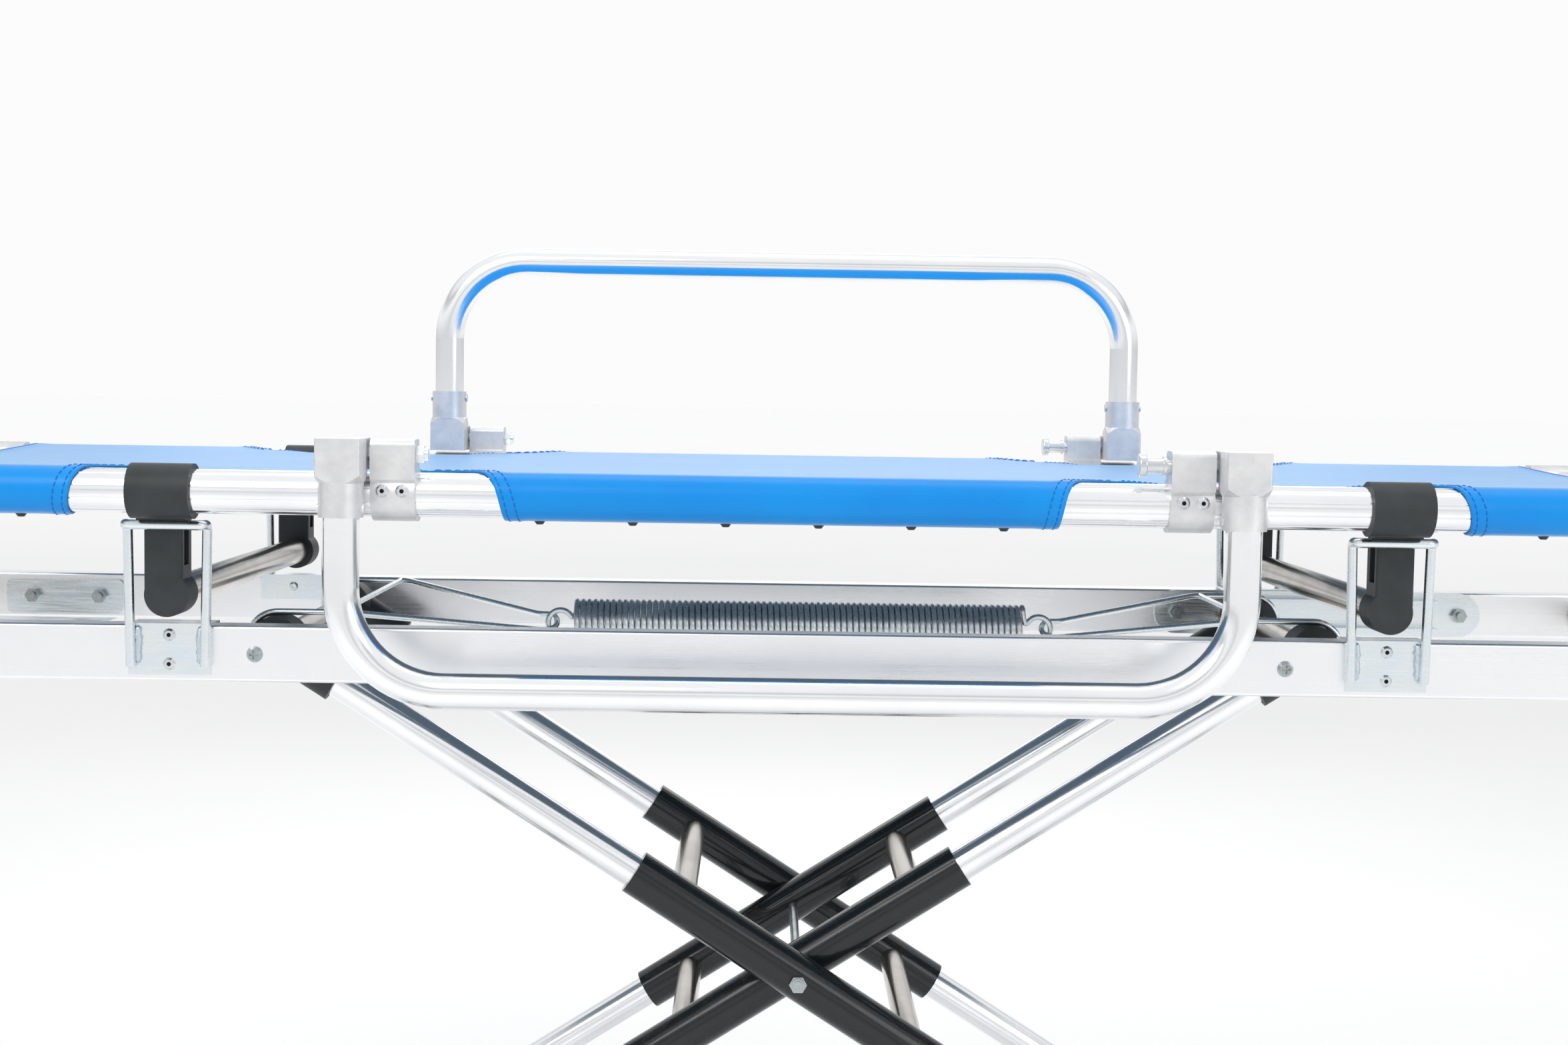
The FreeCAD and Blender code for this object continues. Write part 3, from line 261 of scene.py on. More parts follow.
def sewing_thread():
    paint = Paint("blue_thread", Roughness=0.7)
    twist = paint.noise((2500, 2500, 2500), 2.0)
    paint.colour(paint.mix(paint.ramp(twist, 0, 1), (0.0, 0.10, 0.46), (0.0, 0.16, 0.60)))
    paint.bump((twist, 0.6, 0.0001))
    return paint.material


def weld_metal():
    paint = Paint("weld_bead", Metallic=0.9)
    heat = paint.noise((150, 150, 150), 3.0)
    ripple = paint.noise((200, 200, 1400), 3.0)
    paint.colour(paint.mix(paint.ramp(heat, 0, 1), (0.50, 0.60, 0.66), (0.66, 0.70, 0.72)))
    paint.rough(paint.ramp(ripple, 0.25, 0.5))
    paint.bump((ripple, 0.8, 0.0004), (heat, 0.6, 0.0006))
    return paint.material


def tread_rubber():
    paint = Paint("wheel_rubber", Specular_IOR_Level=0.35)
    grime = paint.noise((60, 60, 60), 4.0)
    fine = paint.noise((1400, 1400, 1400), 2.0)
    paint.colour(paint.mix(paint.ramp(grime, 0, 1), (0.030, 0.031, 0.033), (0.075, 0.074, 0.072)))
    paint.rough(paint.ramp(fine, 0.6, 0.82))
    paint.bump((fine, 0.4, 0.0001), (grime, 0.25, 0.0003))
    return paint.material


def hub_plastic():
    paint = Paint("hub_plastic", Specular_IOR_Level=0.5)
    fine = paint.noise((1200, 1200, 1200), 2.0)
    broad = paint.noise((50, 50, 50), 2.0)
    paint.colour(paint.mix(paint.ramp(broad, 0, 1), (0.30, 0.31, 0.32), (0.38, 0.39, 0.40)))
    paint.rough(paint.ramp(fine, 0.38, 0.52))
    paint.bump((fine, 0.3, 0.00006))
    return paint.material


def floor_paint():
    """Pale floor, a little lighter far from the object, so that it meets the white room without a step."""
    near_glow, far_glow = 0.12, 0.255
    fade_from, fade_to = 4.0, 18.0
    paint = Paint("floor_paint", Roughness=0.75, Emission_Color=(1, 1, 1, 1))
    broad = paint.noise((0.6, 0.6, 0.6), 3.0)
    paint.colour(paint.mix(paint.ramp(broad, 0, 1), (0.79, 0.79, 0.79), (0.82, 0.815, 0.81)))
    away = paint.node("ShaderNodeVectorMath", operation="LENGTH")
    paint.link(paint.place, away.inputs["Vector"])
    glow = paint.ramp(away.outputs["Value"], near_glow, far_glow, fade_from, fade_to)
    paint.link(glow, paint.shader.inputs["Emission Strength"])
    return paint.material


LEG_LEAN = math.atan2(
    JOINTS["leg_crossing"]["pos_m"][2] - JOINTS["fold"]["pos_m"][2],
    JOINTS["leg_crossing"]["pos_m"][0] - JOINTS["fold"]["pos_m"][0],
)
BRIGHT = ((0.96, 0.97, 0.98), (0.89, 0.905, 0.92))
PAINTS = {
    "bright_tube": drawn_metal("bright_tube", *BRIGHT, 0.15),
    "outer_leg": drawn_metal("outer_leg_tube", *BRIGHT, 0.17, (0, -LEG_LEAN, 0)),
    "inner_leg": drawn_metal("inner_leg_tube", *BRIGHT, 0.17, (0, LEG_LEAN, 0)),
    "spreader": drawn_metal("spreader_tube", *BRIGHT, 0.16, (0, 0, math.pi / 2)),
    "rail_aluminium": drawn_metal("rail_aluminium", (0.96, 0.965, 0.97), (0.92, 0.93, 0.95), 0.3, streak=0.1),
    "base_aluminium": drawn_metal("base_aluminium", (0.8, 0.81, 0.83), (0.7, 0.715, 0.74), 0.34, streak=0.1),
    "cast_aluminium": cast_metal(),
    "zinc_steel": zinc_metal(),
    "rivet_steel": wire_metal("rivet_steel", (0.80, 0.82, 0.84), (0.64, 0.66, 0.68), 0.24),
    "cross_steel": drawn_metal(
        "cross_steel", (0.58, 0.55, 0.51), (0.44, 0.41, 0.38), 0.2, (0, 0, math.pi / 2)
    ),
    "spring_steel": wire_metal("spring_steel", (0.76, 0.80, 0.82), (0.58, 0.63, 0.66), 0.3),
    "screw_steel": wire_metal("screw_steel", (0.52, 0.56, 0.57), (0.36, 0.40, 0.41), 0.3),
    "black_plastic": moulded_plastic(),
    "black_sleeve": gloss_sleeve(),
    "blue_cover": coated_cloth(),
    "fork_steel": wire_metal("fork_steel", (0.66, 0.72, 0.77), (0.52, 0.58, 0.64), 0.26),
    "wheel_rubber": tread_rubber(),
    "cover_back_shade": shaded_cloth_back(),
    "thread": sewing_thread(),
    # Near-black paint for the discs in the rivet bores: painted shade of those recesses, not the metal's own
    # colour.
    "hole": Paint("painted_rivet_shade", Base_Color=(0.006, 0.006, 0.007, 1), Roughness=0.9).material,
    "weld": weld_metal(),
    "hub": hub_plastic(),
}
SPECIAL_PAINT = {
    "outer_leg_tubes": "outer_leg",
    "inner_leg_tubes": "inner_leg",
    "end_spreaders": "spreader",
    "base_rails": "base_aluminium",
    "pivot_screws": "screw_steel",
    "rail_bolts": "screw_steel",
    "cross_bolt": "screw_steel",
}


def paint_cad_nodes():
    """Every carried-over CAD node takes its slot's material, or its own from SPECIAL_PAINT."""
    slots = {s["node"]: s["material_slot"] for s in frame["record"]["subparts"]}
    for name, piece in frame["nodes"].items():
        paint = PAINTS[SPECIAL_PAINT.get(name, slots[name])]
        piece.data.materials.clear()
        piece.data.materials.append(paint)


# ---------------------------------------------------------------- mesh helpers


def make_piece(name, points, faces, paint, body, slot):
    """A smooth-shaded mesh object that rides on a body, or on none yet if body is None."""
    mesh = bpy.data.meshes.new(name)
    mesh.from_pydata([tuple(p) for p in points], [], [tuple(f) for f in faces])
    mesh.polygons.foreach_set("use_smooth", [True] * len(mesh.polygons))
    mesh.materials.append(PAINTS[paint])
    mesh.update()
    piece = bpy.data.objects.new(name, mesh)
    bpy.context.scene.collection.objects.link(piece)
    if body:
        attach(piece, body)
    return piece


def frames_along(line):
    """Two cross directions at each point of a line, carried along it without twist."""
    tangent = np.gradient(line, axis=0)
    tangent /= np.linalg.norm(tangent, axis=1)[:, None]
    first = np.cross(tangent[0], (0.0, 0.0, 1.0))
    if np.linalg.norm(first) < 0.1:
        first = np.cross(tangent[0], (0.0, 1.0, 0.0))
    side = np.zeros_like(line)
    side[0] = first / np.linalg.norm(first)
    for k in range(1, len(line)):
        carried = side[k - 1] - tangent[k] * np.dot(side[k - 1], tangent[k])
        side[k] = carried / np.linalg.norm(carried)
    return side, np.cross(tangent, side)


def grid_faces(grid, flip=False):
    """The quads between neighbouring lines of point numbers."""
    faces = []
    for left, right in zip(grid, grid[1:]):
        for k in range(len(left) - 1):
            face = (left[k], right[k], right[k + 1], left[k + 1])
            faces.append(face[::-1] if flip else face)
    return faces


def closed_rings(count, sides):
    """Point numbers of rings that follow each other, each with its first number again at its end."""
    return [[row * sides + k % sides for k in range(sides + 1)] for row in range(count)]


def tube_mesh(line, radius, sides):
    """Points and faces of a closed round tube about a line; radius may change along it."""
    line = np.asarray(line, float)
    radius = np.broadcast_to(radius, len(line))
    side, up = frames_along(line)
    turns = np.arange(sides) * 2 * math.pi / sides
    ring = np.cos(turns)[None, :, None] * side[:, None] + np.sin(turns)[None, :, None] * up[:, None]
    points = (line[:, None] + ring * radius[:, None, None]).reshape(-1, 3)
    rings = closed_rings(len(line), sides)
    faces = grid_faces(rings, flip=True)
    faces.append(tuple(reversed(rings[0][:-1])))
    faces.append(tuple(rings[-1][:-1]))
    return points, faces


def join_meshes(parts):
    """Several (points, faces) pairs as one."""
    points, faces = [], []
    for more_points, more_faces in parts:
        start = len(points)
        points.extend(more_points)
        faces.extend([tuple(start + i for i in face) for face in more_faces])
    return points, faces


# ---------------------------------------------------------------- the blue cover

COVER_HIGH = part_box("cover")[1]
COVER_R = COVER_HIGH.z - AXIS_Z
COVER_THICK = 1.5 * MM
COVER_END = COVER_HIGH.x
# Lengths across the sheet, from its middle: to the panel's side edge and to the flaps' hems. A flap
# goes over its tube, down its outer side and on to its underside.
EDGE_S = HALF_Y - 35 * MM
FLAP_TURN = math.pi + 0.68
FLAP_END_S = HALF_Y + COVER_R * FLAP_TURN
FLAP_REACH = FLAP_END_S - EDGE_S
SAG = 7 * MM
RIPPLE = 0.9 * MM
# The free edge between two flaps hangs by DROOP, which fades out over DROOP_WIDE in from the edge and
# over DROOP_RUN along it to a flap.
DROOP = 5 * MM
DROOP_WIDE = 30 * MM
DROOP_RUN = 70 * MM
HEM_WIDE = 15 * MM
HEM_THICK = 0.55 * MM
PANEL_STEP = 9 * MM
PANEL_ROWS = 64
FLAP_ROWS = 30

# Each flap's two ends: (x at the hem, how far along x from there it is at the panel's side edge)
FLAPS = [
    ((-COVER_END, 0.0), (-550 * MM, 42 * MM)),
    ((-217 * MM, -66 * MM), (210 * MM, 52 * MM)),
    ((528 * MM, -44 * MM), (COVER_END, 0.0)),
]


def flap_edge(end, reach):
    """The x of a flap's end; reach is 0 at the panel's side edge and 1 at the flap's hem."""
    x, flare = end
    return x + flare * (1 - reach) ** 3


# Where the flaps begin and end on the panel's side edge, in order along x
FLAP_BOUNDS = [flap_edge(end, 0.0) for flap in FLAPS for end in flap]


def smooth(value, low, high):
    """0 below low, 1 above high, and an S-shaped rise between them."""
    t = min(1.0, max(0.0, (value - low) / (high - low)))
    return t * t * (3 - 2 * t)


def cover_point(x, s, lift):
    """A point of the cover's outer face: s is measured across from the middle, round the tubes."""
    side = 1 if s >= 0 else -1
    across = abs(s)
    if across <= HALF_Y:
        share = across / HALF_Y
        z = COVER_R - SAG * (1 - share ** 2) ** 1.1
        ripple = noise.noise(Vector((x * 5.0, s * 9.0, 1.7)))
        z += RIPPLE * ripple * (1 - share ** 4)
        return Vector((x, MID_Y + s, AXIS_Z + z + lift))
    turn = (across - HALF_Y) / COVER_R
    reach = COVER_R + lift
    y = HALF_Y + reach * math.sin(turn)
    return Vector((x, MID_Y + side * y, AXIS_Z + reach * math.cos(turn)))


def spaced(start, end, step):
    """Places from start to end, closer together at both ends where the hem's fold is."""
    ends = [0.0, 2 * MM, 5 * MM, 9 * MM, HEM_WIDE - 2 * MM, HEM_WIDE]
    inner = max(2, round((end - start - 2 * HEM_WIDE) / step))
    middle = [HEM_WIDE + (end - start - 2 * HEM_WIDE) * k / inner for k in range(1, inner)]
    back = [end - start - e for e in reversed(ends)]
    return [start + e for e in ends + middle + back]


def hem_lift(distance):
    """How far the outer face stands proud because the hem is folded double."""
    edge = 1 - smooth(distance, HEM_WIDE - 3 * MM, HEM_WIDE)
    return HEM_THICK * edge * (0.35 + 0.65 * smooth(distance, 0.0, 2 * MM))


def edge_droop(to_flap, to_side):
    """How far the free edge between two flaps hangs, from the distances to a flap and to the edge."""
    return DROOP * smooth(to_flap, 0.0, DROOP_RUN) * (1 - smooth(to_side, 0.0, DROOP_WIDE))


def panel_lift(x, s):
    """The hem's height on the central panel, less the droop of the free edge between two flaps."""
    to_flap = min(max(low - x, x - high, 0.0) for low, high in zip(FLAP_BOUNDS[::2], FLAP_BOUNDS[1::2]))
    to_side = EDGE_S - abs(s)
    if to_flap == 0.0:
        return hem_lift(COVER_END - abs(x))
    return hem_lift(to_side) - edge_droop(to_flap, to_side)


def flap_point(flap, side, share, reach):
    """A point of a flap's outer face; share goes from its left end to its right one."""
    low, high = [flap_edge(end, reach) for end in flap]
    x = low + (high - low) * share
    to_hem = min(abs(x - low), abs(x - high), (1 - reach) * FLAP_REACH)
    return cover_point(x, side * (EDGE_S + reach * FLAP_REACH), hem_lift(to_hem))


def cover_mesh():
    """One continuous sheet: a central panel whose side edges carry three flaps each."""
    columns = [FLAP_BOUNDS[0]]
    spans = []
    for low, high in zip(FLAP_BOUNDS, FLAP_BOUNDS[1:]):
        places = spaced(low, high, PANEL_STEP)
        spans.append((len(columns) - 1, places))
        columns += places[1:]
    rows = [-EDGE_S + 2 * EDGE_S * k / PANEL_ROWS for k in range(PANEL_ROWS + 1)]
    points = [cover_point(x, s, panel_lift(x, s)) for x in columns for s in rows]
    panel = [[i * len(rows) + j for j in range(len(rows))] for i in range(len(columns))]
    faces = grid_faces(panel)

    # Every other span of columns carries a flap at each side; the ones between are the cut-outs.
    for flap, (start, places) in zip(FLAPS, spans[::2]):
        for side, row in ((-1, 0), (1, PANEL_ROWS)):
            grid = []
            for i, x in enumerate(places):
                share = (x - places[0]) / (places[-1] - places[0])
                line = [panel[start + i][row]]
                for k in range(1, FLAP_ROWS + 1):
                    line.append(len(points))
                    points.append(flap_point(flap, side, share, k / FLAP_ROWS))
                grid.append(line)
            faces += grid_faces(grid, flip=side < 0)
    return points, faces


def flat_cover_area():
    """The cut's flat area: the panel, and each flap's mean length times its reach."""
    area = 4 * EDGE_S * COVER_END
    for left, right in FLAPS:
        mean_length = (right[0] + right[1] / 4) - (left[0] + left[1] / 4)
        area += 2 * mean_length * FLAP_REACH
    return area


def make_cover():
    piece = make_piece("cover_sheet", *cover_mesh(), "blue_cover", None, "blue_cover")
    # The underside takes the darkened back paint: painted shade under the cover.
    piece.data.materials.append(PAINTS["cover_back_shade"])
    skin = piece.modifiers.new("thickness", "SOLIDIFY")
    skin.thickness = COVER_THICK
    skin.offset = -1
    skin.use_even_offset = False
    skin.material_offset = 1
    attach(piece, "litter")
    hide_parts("cover")
    flat_cover_area()


# ---------------------------------------------------------------- stitches

THREAD_R = 0.38 * MM
STITCH_PITCH = 4.4 * MM
STITCH_SHARE = 0.68
STITCH_ARCH = 0.45 * MM
STITCH_SUNK = 0.1 * MM
STITCH_STEPS = 4
FLAP_ROW_INSETS = (4 * MM, 11.5 * MM)
FLAP_ROW_COUNT = 20
FLAP_ROW_FROM = 0.01
FLAP_ROW_RUN = 0.97
CUT_ROW_ENDS = 4 * MM
CUT_ROW_INSET = 6 * MM
END_ROW_INSET = 7 * MM
END_ROW_SIDES = 4 * MM
END_ROW_COUNT = 110
UP = Vector((0, 0, 1))


def stitch(start, end, out):
    """The mesh of one short stitch between two points, arched in the middle and sunk at its ends."""
    line = []
    for k in range(STITCH_STEPS + 1):
        share = k / STITCH_STEPS
        height = STITCH_ARCH * math.sin(math.pi * share) - STITCH_SUNK
        line.append(start.lerp(end, share) + out * height)
    return tube_mesh(line, THREAD_R, 6)


def stitch_row(path, count):
    """Stitches with small gaps along a path, which gives a point and its outward way."""
    row = []
    for k in range(count):
        start, out = path(k / count)
        end = path((k + STITCH_SHARE) / count)[0]
        row.append(stitch(start, end, out))
    return row


def round_tube(end, inward, side, inset):
    """The path of a row beside a flap's end, from the panel's edge to just before the flap's hem."""
    def path(t):
        reach = FLAP_ROW_FROM + FLAP_ROW_RUN * t
        s = side * (EDGE_S + reach * FLAP_REACH)
        x = flap_edge(end, reach) + inward * inset
        spot = cover_point(x, s, HEM_THICK)
        out = cover_point(x, s, HEM_THICK + MM) - spot
        return spot, out.normalized()
    return path


def along_cut_out(low, high, side):
    """The path of a row on the panel beside the free edge of a cut-out."""
    def path(t):
        x = low + (high - low) * t
        droop = edge_droop(min(x - low, high - x) + CUT_ROW_ENDS, CUT_ROW_INSET)
        return cover_point(x, side * (EDGE_S - CUT_ROW_INSET), HEM_THICK - droop), UP
    return path


def across_end(end):
    """The path of a row across one end of the cover."""
    def path(t):
        s = (2 * t - 1) * (HALF_Y - END_ROW_SIDES)
        return cover_point(end * (COVER_END - END_ROW_INSET), s, HEM_THICK), UP
    return path


def make_stitches():
    """Two rows beside each flap end at a cut-out, one beside each free edge, and one at each end."""
    parts = []
    for left_flap, right_flap in zip(FLAPS, FLAPS[1:]):
        for end, inward in ((left_flap[1], -1), (right_flap[0], 1)):
            for side in (-1, 1):
                for inset in FLAP_ROW_INSETS:
                    parts += stitch_row(round_tube(end, inward, side, inset), FLAP_ROW_COUNT)
        low = flap_edge(left_flap[1], 0.0) + CUT_ROW_ENDS
        high = flap_edge(right_flap[0], 0.0) - CUT_ROW_ENDS
        for side in (-1, 1):
            parts += stitch_row(along_cut_out(low, high, side), round((high - low) / STITCH_PITCH))
    for end in (-1, 1):
        parts += stitch_row(across_end(end), END_ROW_COUNT)
    make_piece("cover_stitches", *join_meshes(parts), "thread", "litter", "blue_cover")


# ---------------------------------------------------------------- counterbalance spring

SPRING_LOW, SPRING_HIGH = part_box("spring")
HOOK_LOW, HOOK_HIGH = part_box("spring_hook")
SPRING_Z = (SPRING_LOW.z + SPRING_HIGH.z) / 2
SPRING_OUT = (SPRING_HIGH.z - SPRING_LOW.z) / 2
WIRE_R = (HOOK_HIGH.y - HOOK_LOW.y) / 2
COIL_R = SPRING_OUT - WIRE_R
COIL_COUNT = 74
COIL_LONG = 407 * MM
COIL_STEPS = 24
COIL_FROM = SPRING_HIGH.x - COIL_LONG
# Each end loop starts 35 degrees below the spring's axis and runs 290 degrees round, leaving a gap.
LOOP_R = 11 * MM
LOOP_STEPS = 36
LOOP_FROM = -35
LOOP_SWEEP = -290
BRIDGE_REACH = 9 * MM
BRIDGE_STEPS = 10
SPRING_AXIS = Vector((0, MID_Y, SPRING_Z))


def spring_loop(x, way):
    """Points from an end loop's free end, round it, to where the wire leaves for the coil."""
    made = []
    for k in range(LOOP_STEPS + 1):
        turn = math.radians(LOOP_FROM + LOOP_SWEEP * k / LOOP_STEPS)
        spot = Vector((x - way * LOOP_R * math.cos(turn), 0, LOOP_R * math.sin(turn)))
        made.append(SPRING_AXIS + spot)
    return made


def spring_bridge(start, end, out, onward):
    """Points of a smooth curve between two ends of wire, out of one and on into the other."""
    leaving = start + out * BRIDGE_REACH
    arriving = end - onward * BRIDGE_REACH
    made = []
    for k in range(1, BRIDGE_STEPS):
        t = k / BRIDGE_STEPS
        u = 1 - t
        made.append(start * u ** 3 + leaving * 3 * u * u * t + arriving * 3 * u * t * t + end * t ** 3)
    return made


def spring_coil():
    """Points of the close-wound helix from one end loop to the other."""
    made = []
    count = COIL_COUNT * COIL_STEPS
    for k in range(count + 1):
        turn = 2 * math.pi * k / COIL_STEPS
        x = COIL_FROM + WIRE_R + (COIL_LONG - 2 * WIRE_R) * k / count
        made.append(SPRING_AXIS + Vector((x, -COIL_R * math.sin(turn), COIL_R * math.cos(turn))))
    return made


def make_spring():
    """The close-wound helix with a round loop at each end, as one wire."""
    coil = spring_coil()
    left = spring_loop(SPRING_LOW.x + WIRE_R + LOOP_R, -1)
    right = spring_loop(HOOK_HIGH.x - WIRE_R - LOOP_R, 1)[::-1]
    into = (left[-1] - left[-2]).normalized()
    away = (right[1] - right[0]).normalized()
    along_coil = Vector((0, -1, 0))
    line = left + spring_bridge(left[-1], coil[0], into, along_coil) + coil
    line += spring_bridge(coil[-1], right[0], along_coil, away) + right
    points, faces = tube_mesh([tuple(p) for p in line], WIRE_R, 10)
    piece = make_piece("spring_wire", points, faces, "spring_steel", None, "spring_steel")
    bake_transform(piece)
    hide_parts("spring", "spring_hook")


# ---------------------------------------------------------------- small fitted details

STIRRUP_LOW, STIRRUP_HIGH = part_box("stirrups")
PLATE_LOW, PLATE_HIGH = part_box("stirrup_plates")
STIRRUP_WIRE = 3.9 * MM
STIRRUP_FOOT_HALF = 29.2 * MM
STIRRUP_TOP_HALF = 31.2 * MM
STIRRUP_INSET = STIRRUP_WIRE + STIRRUP_TOP_HALF
STIRRUP_MIDDLES = (STIRRUP_LOW.x + STIRRUP_INSET, STIRRUP_HIGH.x - STIRRUP_INSET)
WELD_R = 2.9 * MM
WELD_FROM = 9 * MM
WELD_LONG = 30 * MM
WELD_IN = 0.4 * MM
WELD_OFF = 0.6 * MM
WELD_WANDER = 1.0 * MM
WELD_PROUD = 0.7 * MM
WELD_STEPS = 16
RIVET_R = 5 * MM
RIVET_TALL = 1.6 * MM
RIVET_PIN_R = 1.66 * MM
SADDLE_RIVET_APART = 15 * MM


def weld_bead(x, face, side, flank):
    """One uneven bead up a plate, a little thinner at its two ends and wandering from x."""
    line, radius = [], []
    for k in range(WELD_STEPS + 1):
        share = k / WELD_STEPS
        z = PLATE_LOW.z + WELD_FROM + WELD_LONG * share
        wander = noise.noise(Vector((x * 90, face * 40, z * 260)))
        swell = 1 + 0.35 * noise.noise(Vector((z * 420, x * 60, 3.1)))
        taper = math.sqrt(max(0.05, 1 - (2 * share - 1) ** 8))
        line.append((x - flank * (WELD_OFF + WELD_WANDER * wander), face + side * WELD_PROUD, z))
        radius.append(WELD_R * swell * taper)
    return tube_mesh(line, np.array(radius), 12)


def make_welds():
    """A bead down the inner side of each stirrup's uprights."""
    parts = []
    for side, face in ((-1, PLATE_LOW.y), (1, PLATE_HIGH.y)):
        for middle in STIRRUP_MIDDLES:
            for flank in (-1, 1):
                x = middle + flank * (STIRRUP_FOOT_HALF - STIRRUP_WIRE - WELD_IN)
                parts.append(weld_bead(x, face, side, flank))
    make_piece("stirrup_welds", *join_meshes(parts), "weld", "undercarriage", "zinc_steel")


def shade_disc(x, face, z, side):
    """A near-black disc just proud of the bottom of a rivet's bore: painted shade where the bore lies in shadow.
    """
    low = face - side * RIVET_TALL
    return tube_mesh([(x, low + side * 0.3 * MM, z), (x, low + side * 0.6 * MM, z)], RIVET_PIN_R, 20)


def make_rivet_shading():
    """Painted shade down the middle of each pop rivet on a rail's outer face or on a guard saddle: a near-black
    disc in each bore.
    """
    low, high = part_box("stirrup_rivets")
    parts = []
    for side, face in ((-1, low.y), (1, high.y)):
        for x in (low.x + RIVET_R, high.x - RIVET_R):
            for z in (low.z + RIVET_R, high.z - RIVET_R):
                parts.append(shade_disc(x, face, z, side))
    make_piece("stirrup_rivet_shading", *join_meshes(parts), "hole", "undercarriage", "rivet_steel")

    low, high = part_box("saddle_rivets")
    parts = []
    for side, face in ((-1, low.y), (1, high.y)):
        for end in (low.x + RIVET_R, high.x - RIVET_R - SADDLE_RIVET_APART):
            for x in (end, end + SADDLE_RIVET_APART):
                parts.append(shade_disc(x, face, (low.z + high.z) / 2, side))
    make_piece("saddle_rivet_shading", *join_meshes(parts), "hole", "litter", "rivet_steel")


# The hub disc's section: each point's radius and its depth below the wheel's face, in millimetres
HUB_PROFILE = [(6, 0), (14, 0), (15.5, 0.6), (16.5, 2.0), (18, 5.6), (40, 5.6), (42, 4.4), (43.6, 4.2)]
HUB_TURNS = 64
HUB_THICK = 0.8 * MM
HUB_PROUD = 0.05 * MM


def hub_disc(middle, face, side):
    """One grey disc with a raised rim and a boss, turned about a wheel's axle."""
    points = []
    for radius, depth in HUB_PROFILE:
        y = face - side * (depth * MM - HUB_PROUD)
        for k in range(HUB_TURNS):
            turn = 2 * math.pi * k / HUB_TURNS
            x = middle.x + radius * math.cos(turn) * MM
            points.append((x, y, middle.z + radius * math.sin(turn) * MM))
    return points, grid_faces(closed_rings(len(HUB_PROFILE), HUB_TURNS), flip=side < 0)


def make_hub_caps():
    """A grey hub disc let into each face of each castor wheel."""
    for name in ("head_right", "head_left", "foot_right", "foot_left"):
        low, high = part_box("castor_wheel_" + name)
        middle = (low + high) / 2
        parts = [hub_disc(middle, low.y, -1), hub_disc(middle, high.y, 1)]
        piece = make_piece("hub_cap_" + name, *join_meshes(parts), "hub", None, "wheel_rubber")
        skin = piece.modifiers.new("thickness", "SOLIDIFY")
        skin.thickness = HUB_THICK
        skin.offset = 0
        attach(piece, "wheel_" + name)


# ---------------------------------------------------------------- stage, light and camera

FLOOR_HALF = 120.0
SEEN_STRENGTH = 0.97
# The room that the metal reflects: (height from 0 straight down to 1 straight up, brightness)
ROOM_STOPS = [(0.0, 0.75), (0.46, 0.8), (0.49, 0.66), (0.52, 0.58), (0.55, 0.8), (0.62, 1.0),
              (0.70, 0.5), (0.76, 0.85), (1.0, 0.95)]


def make_stage():
    mesh = bpy.data.meshes.new("floor")
    corners = [(-1, -1), (1, -1), (1, 1), (-1, 1)]
    mesh.from_pydata([(x * FLOOR_HALF, y * FLOOR_HALF, 0) for x, y in corners], [], [(0, 1, 2, 3)])
    mesh.materials.append(floor_paint())
    floor = bpy.data.objects.new("floor", mesh)
    bpy.context.scene.collection.objects.link(floor)


def make_world():
    """White for the camera; for light and reflections, a pale room with two darker bands."""
    world = bpy.data.worlds.new("studio")
    bpy.context.scene.world = world
    world.use_nodes = True
    tree = world.node_tree
    tree.nodes.clear()

    output = tree.nodes.new("ShaderNodeOutputWorld")
    choose = tree.nodes.new("ShaderNodeMixShader")
    seen = tree.nodes.new("ShaderNodeBackground")
    room = tree.nodes.new("ShaderNodeBackground")
    path = tree.nodes.new("ShaderNodeLightPath")
    place = tree.nodes.new("ShaderNodeTexCoord")
    split = tree.nodes.new("ShaderNodeSeparateXYZ")
    band = tree.nodes.new("ShaderNodeValToRGB")
    shift = tree.nodes.new("ShaderNodeMapRange")
    seen.inputs["Color"].default_value = (1, 1, 1, 1)
    seen.inputs["Strength"].default_value = SEEN_STRENGTH
    shift.inputs["From Min"].default_value = -1
    shift.inputs["From Max"].default_value = 1
    ramp = band.color_ramp
    while len(ramp.elements) < len(ROOM_STOPS):
        ramp.elements.new(0.5)
    for element, (position, value) in zip(ramp.elements, ROOM_STOPS):
        element.position = position
        element.color = (value, value * 1.005, value * 1.015, 1)
    tree.links.new(place.outputs["Generated"], split.inputs["Vector"])
    tree.links.new(split.outputs["Z"], shift.inputs["Value"])
    tree.links.new(shift.outputs["Result"], band.inputs["Fac"])
    tree.links.new(band.outputs["Color"], room.inputs["Color"])
    tree.links.new(path.outputs["Is Camera Ray"], choose.inputs["Fac"])
    tree.links.new(room.outputs["Background"], choose.inputs[1])
    tree.links.new(seen.outputs["Background"], choose.inputs[2])
    tree.links.new(choose.outputs["Shader"], output.inputs["Surface"])


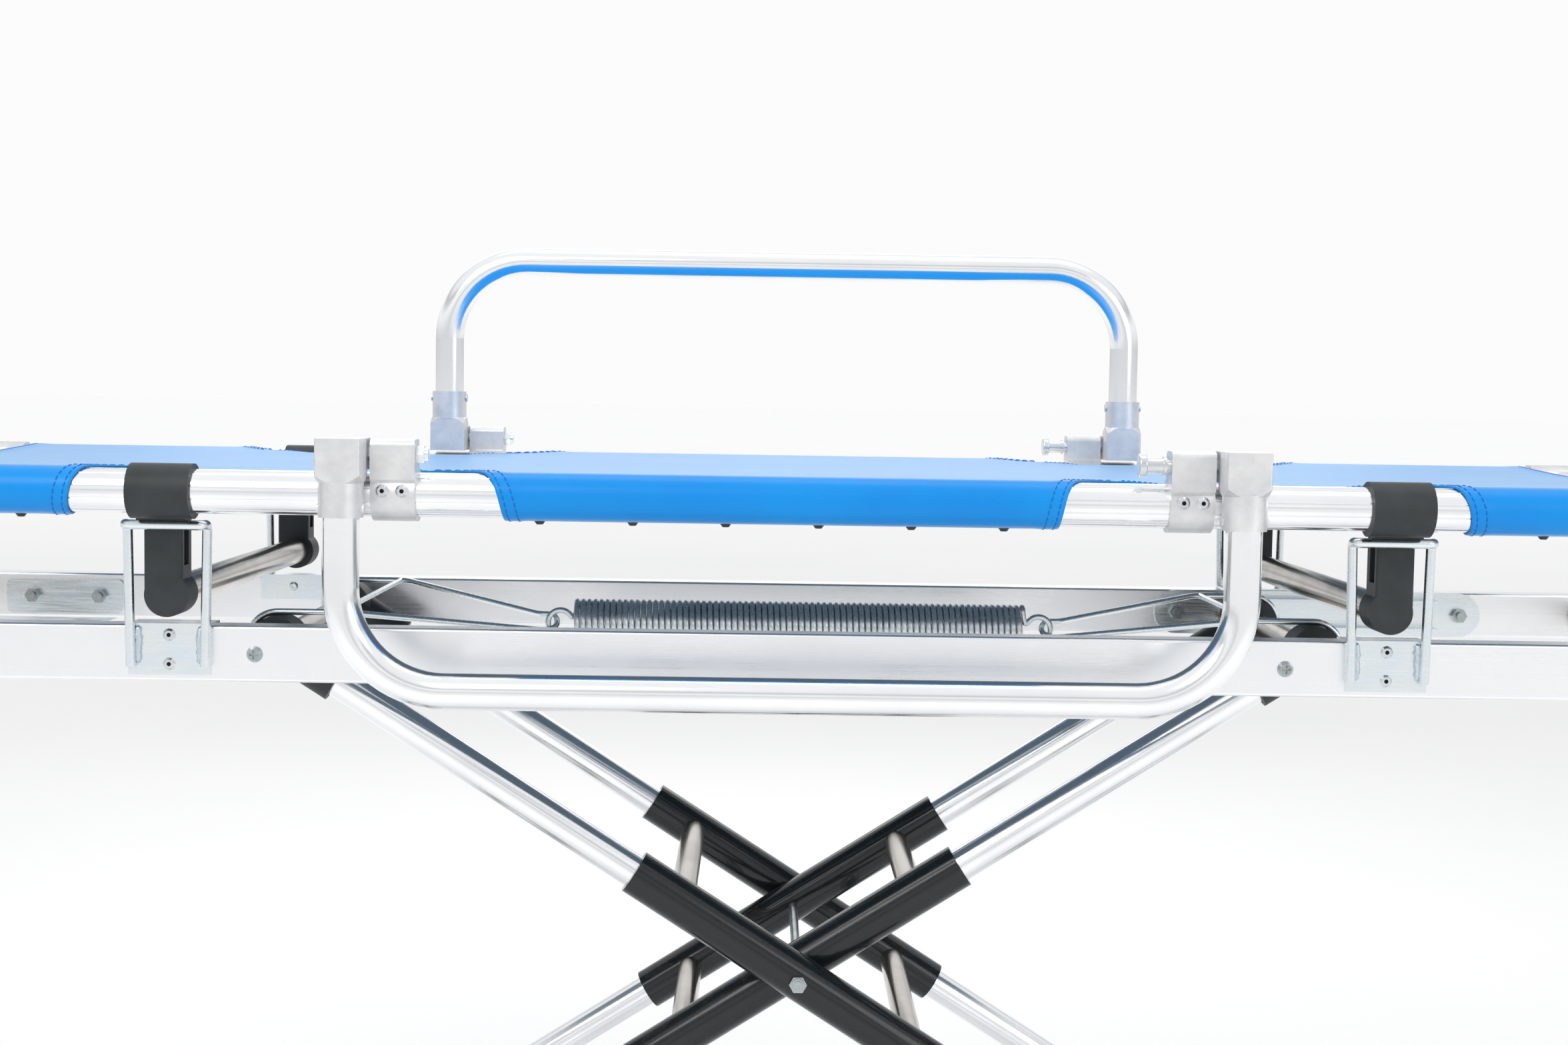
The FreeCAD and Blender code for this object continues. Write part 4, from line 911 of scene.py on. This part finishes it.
def make_light(name, place, target, size, power):
    """A rectangular soft box; size is in metres and power in watts."""
    data = bpy.data.lights.new(name, "AREA")
    data.shape = "RECTANGLE"
    data.size, data.size_y = size
    data.energy = power
    lamp = bpy.data.objects.new(name, data)
    lamp.location = place
    lamp.rotation_mode = "QUATERNION"
    lamp.rotation_quaternion = (Vector(target) - Vector(place)).to_track_quat("-Z", "Y")
    bpy.context.scene.collection.objects.link(lamp)


def make_lights():
    aim = (0, MID_Y, AXIS_Z)
    make_light("key_box", (-1.6, -2.6, AXIS_Z + 2.2), aim, (2.2, 1.4), 34)
    make_light("fill_box", (2.4, -2.2, AXIS_Z + 1.0), aim, (1.6, 1.6), 14)
    make_light("top_box", (0.2, 0.4, AXIS_Z + 2.6), aim, (3.0, 1.2), 15)
    make_light("back_box", (0.0, 3.2, AXIS_Z + 1.4), aim, (3.0, 1.0), 16)


# The camera stands off the right-hand side, a little above the litter. Angles are in radians.
CAMERA_PLACE = Vector((-21.0 * MM, MID_Y - 1860.6 * MM, AXIS_Z + 83.6 * MM))
CAMERA_YAW = 0.012
CAMERA_PITCH = 0.063
CAMERA_ROLL = 0.016
CAMERA_LENS = 47.5


def make_camera():
    level = math.cos(CAMERA_PITCH)
    ahead = Vector((math.sin(CAMERA_YAW) * level, math.cos(CAMERA_YAW) * level, -math.sin(CAMERA_PITCH)))
    right = Vector((math.cos(CAMERA_YAW), -math.sin(CAMERA_YAW), 0))
    up = right.cross(ahead)
    rolled_right = right * math.cos(CAMERA_ROLL) + up * math.sin(CAMERA_ROLL)
    rolled_up = up * math.cos(CAMERA_ROLL) - right * math.sin(CAMERA_ROLL)
    data = bpy.data.cameras.new("camera")
    data.lens = CAMERA_LENS
    data.sensor_width = 36.0
    camera = bpy.data.objects.new("camera", data)
    turn = Matrix((rolled_right, rolled_up, -ahead)).transposed()
    camera.matrix_world = Matrix.Translation(CAMERA_PLACE) @ turn.to_4x4()
    bpy.context.scene.collection.objects.link(camera)
    bpy.context.scene.camera = camera


def main():
    paint_cad_nodes()
    make_cover()
    make_stitches()
    make_spring()
    make_welds()
    make_rivet_shading()
    make_hub_caps()
    make_stage()
    make_world()
    make_lights()
    make_camera()
    bpy.context.scene.view_settings.view_transform = "Standard"


main()
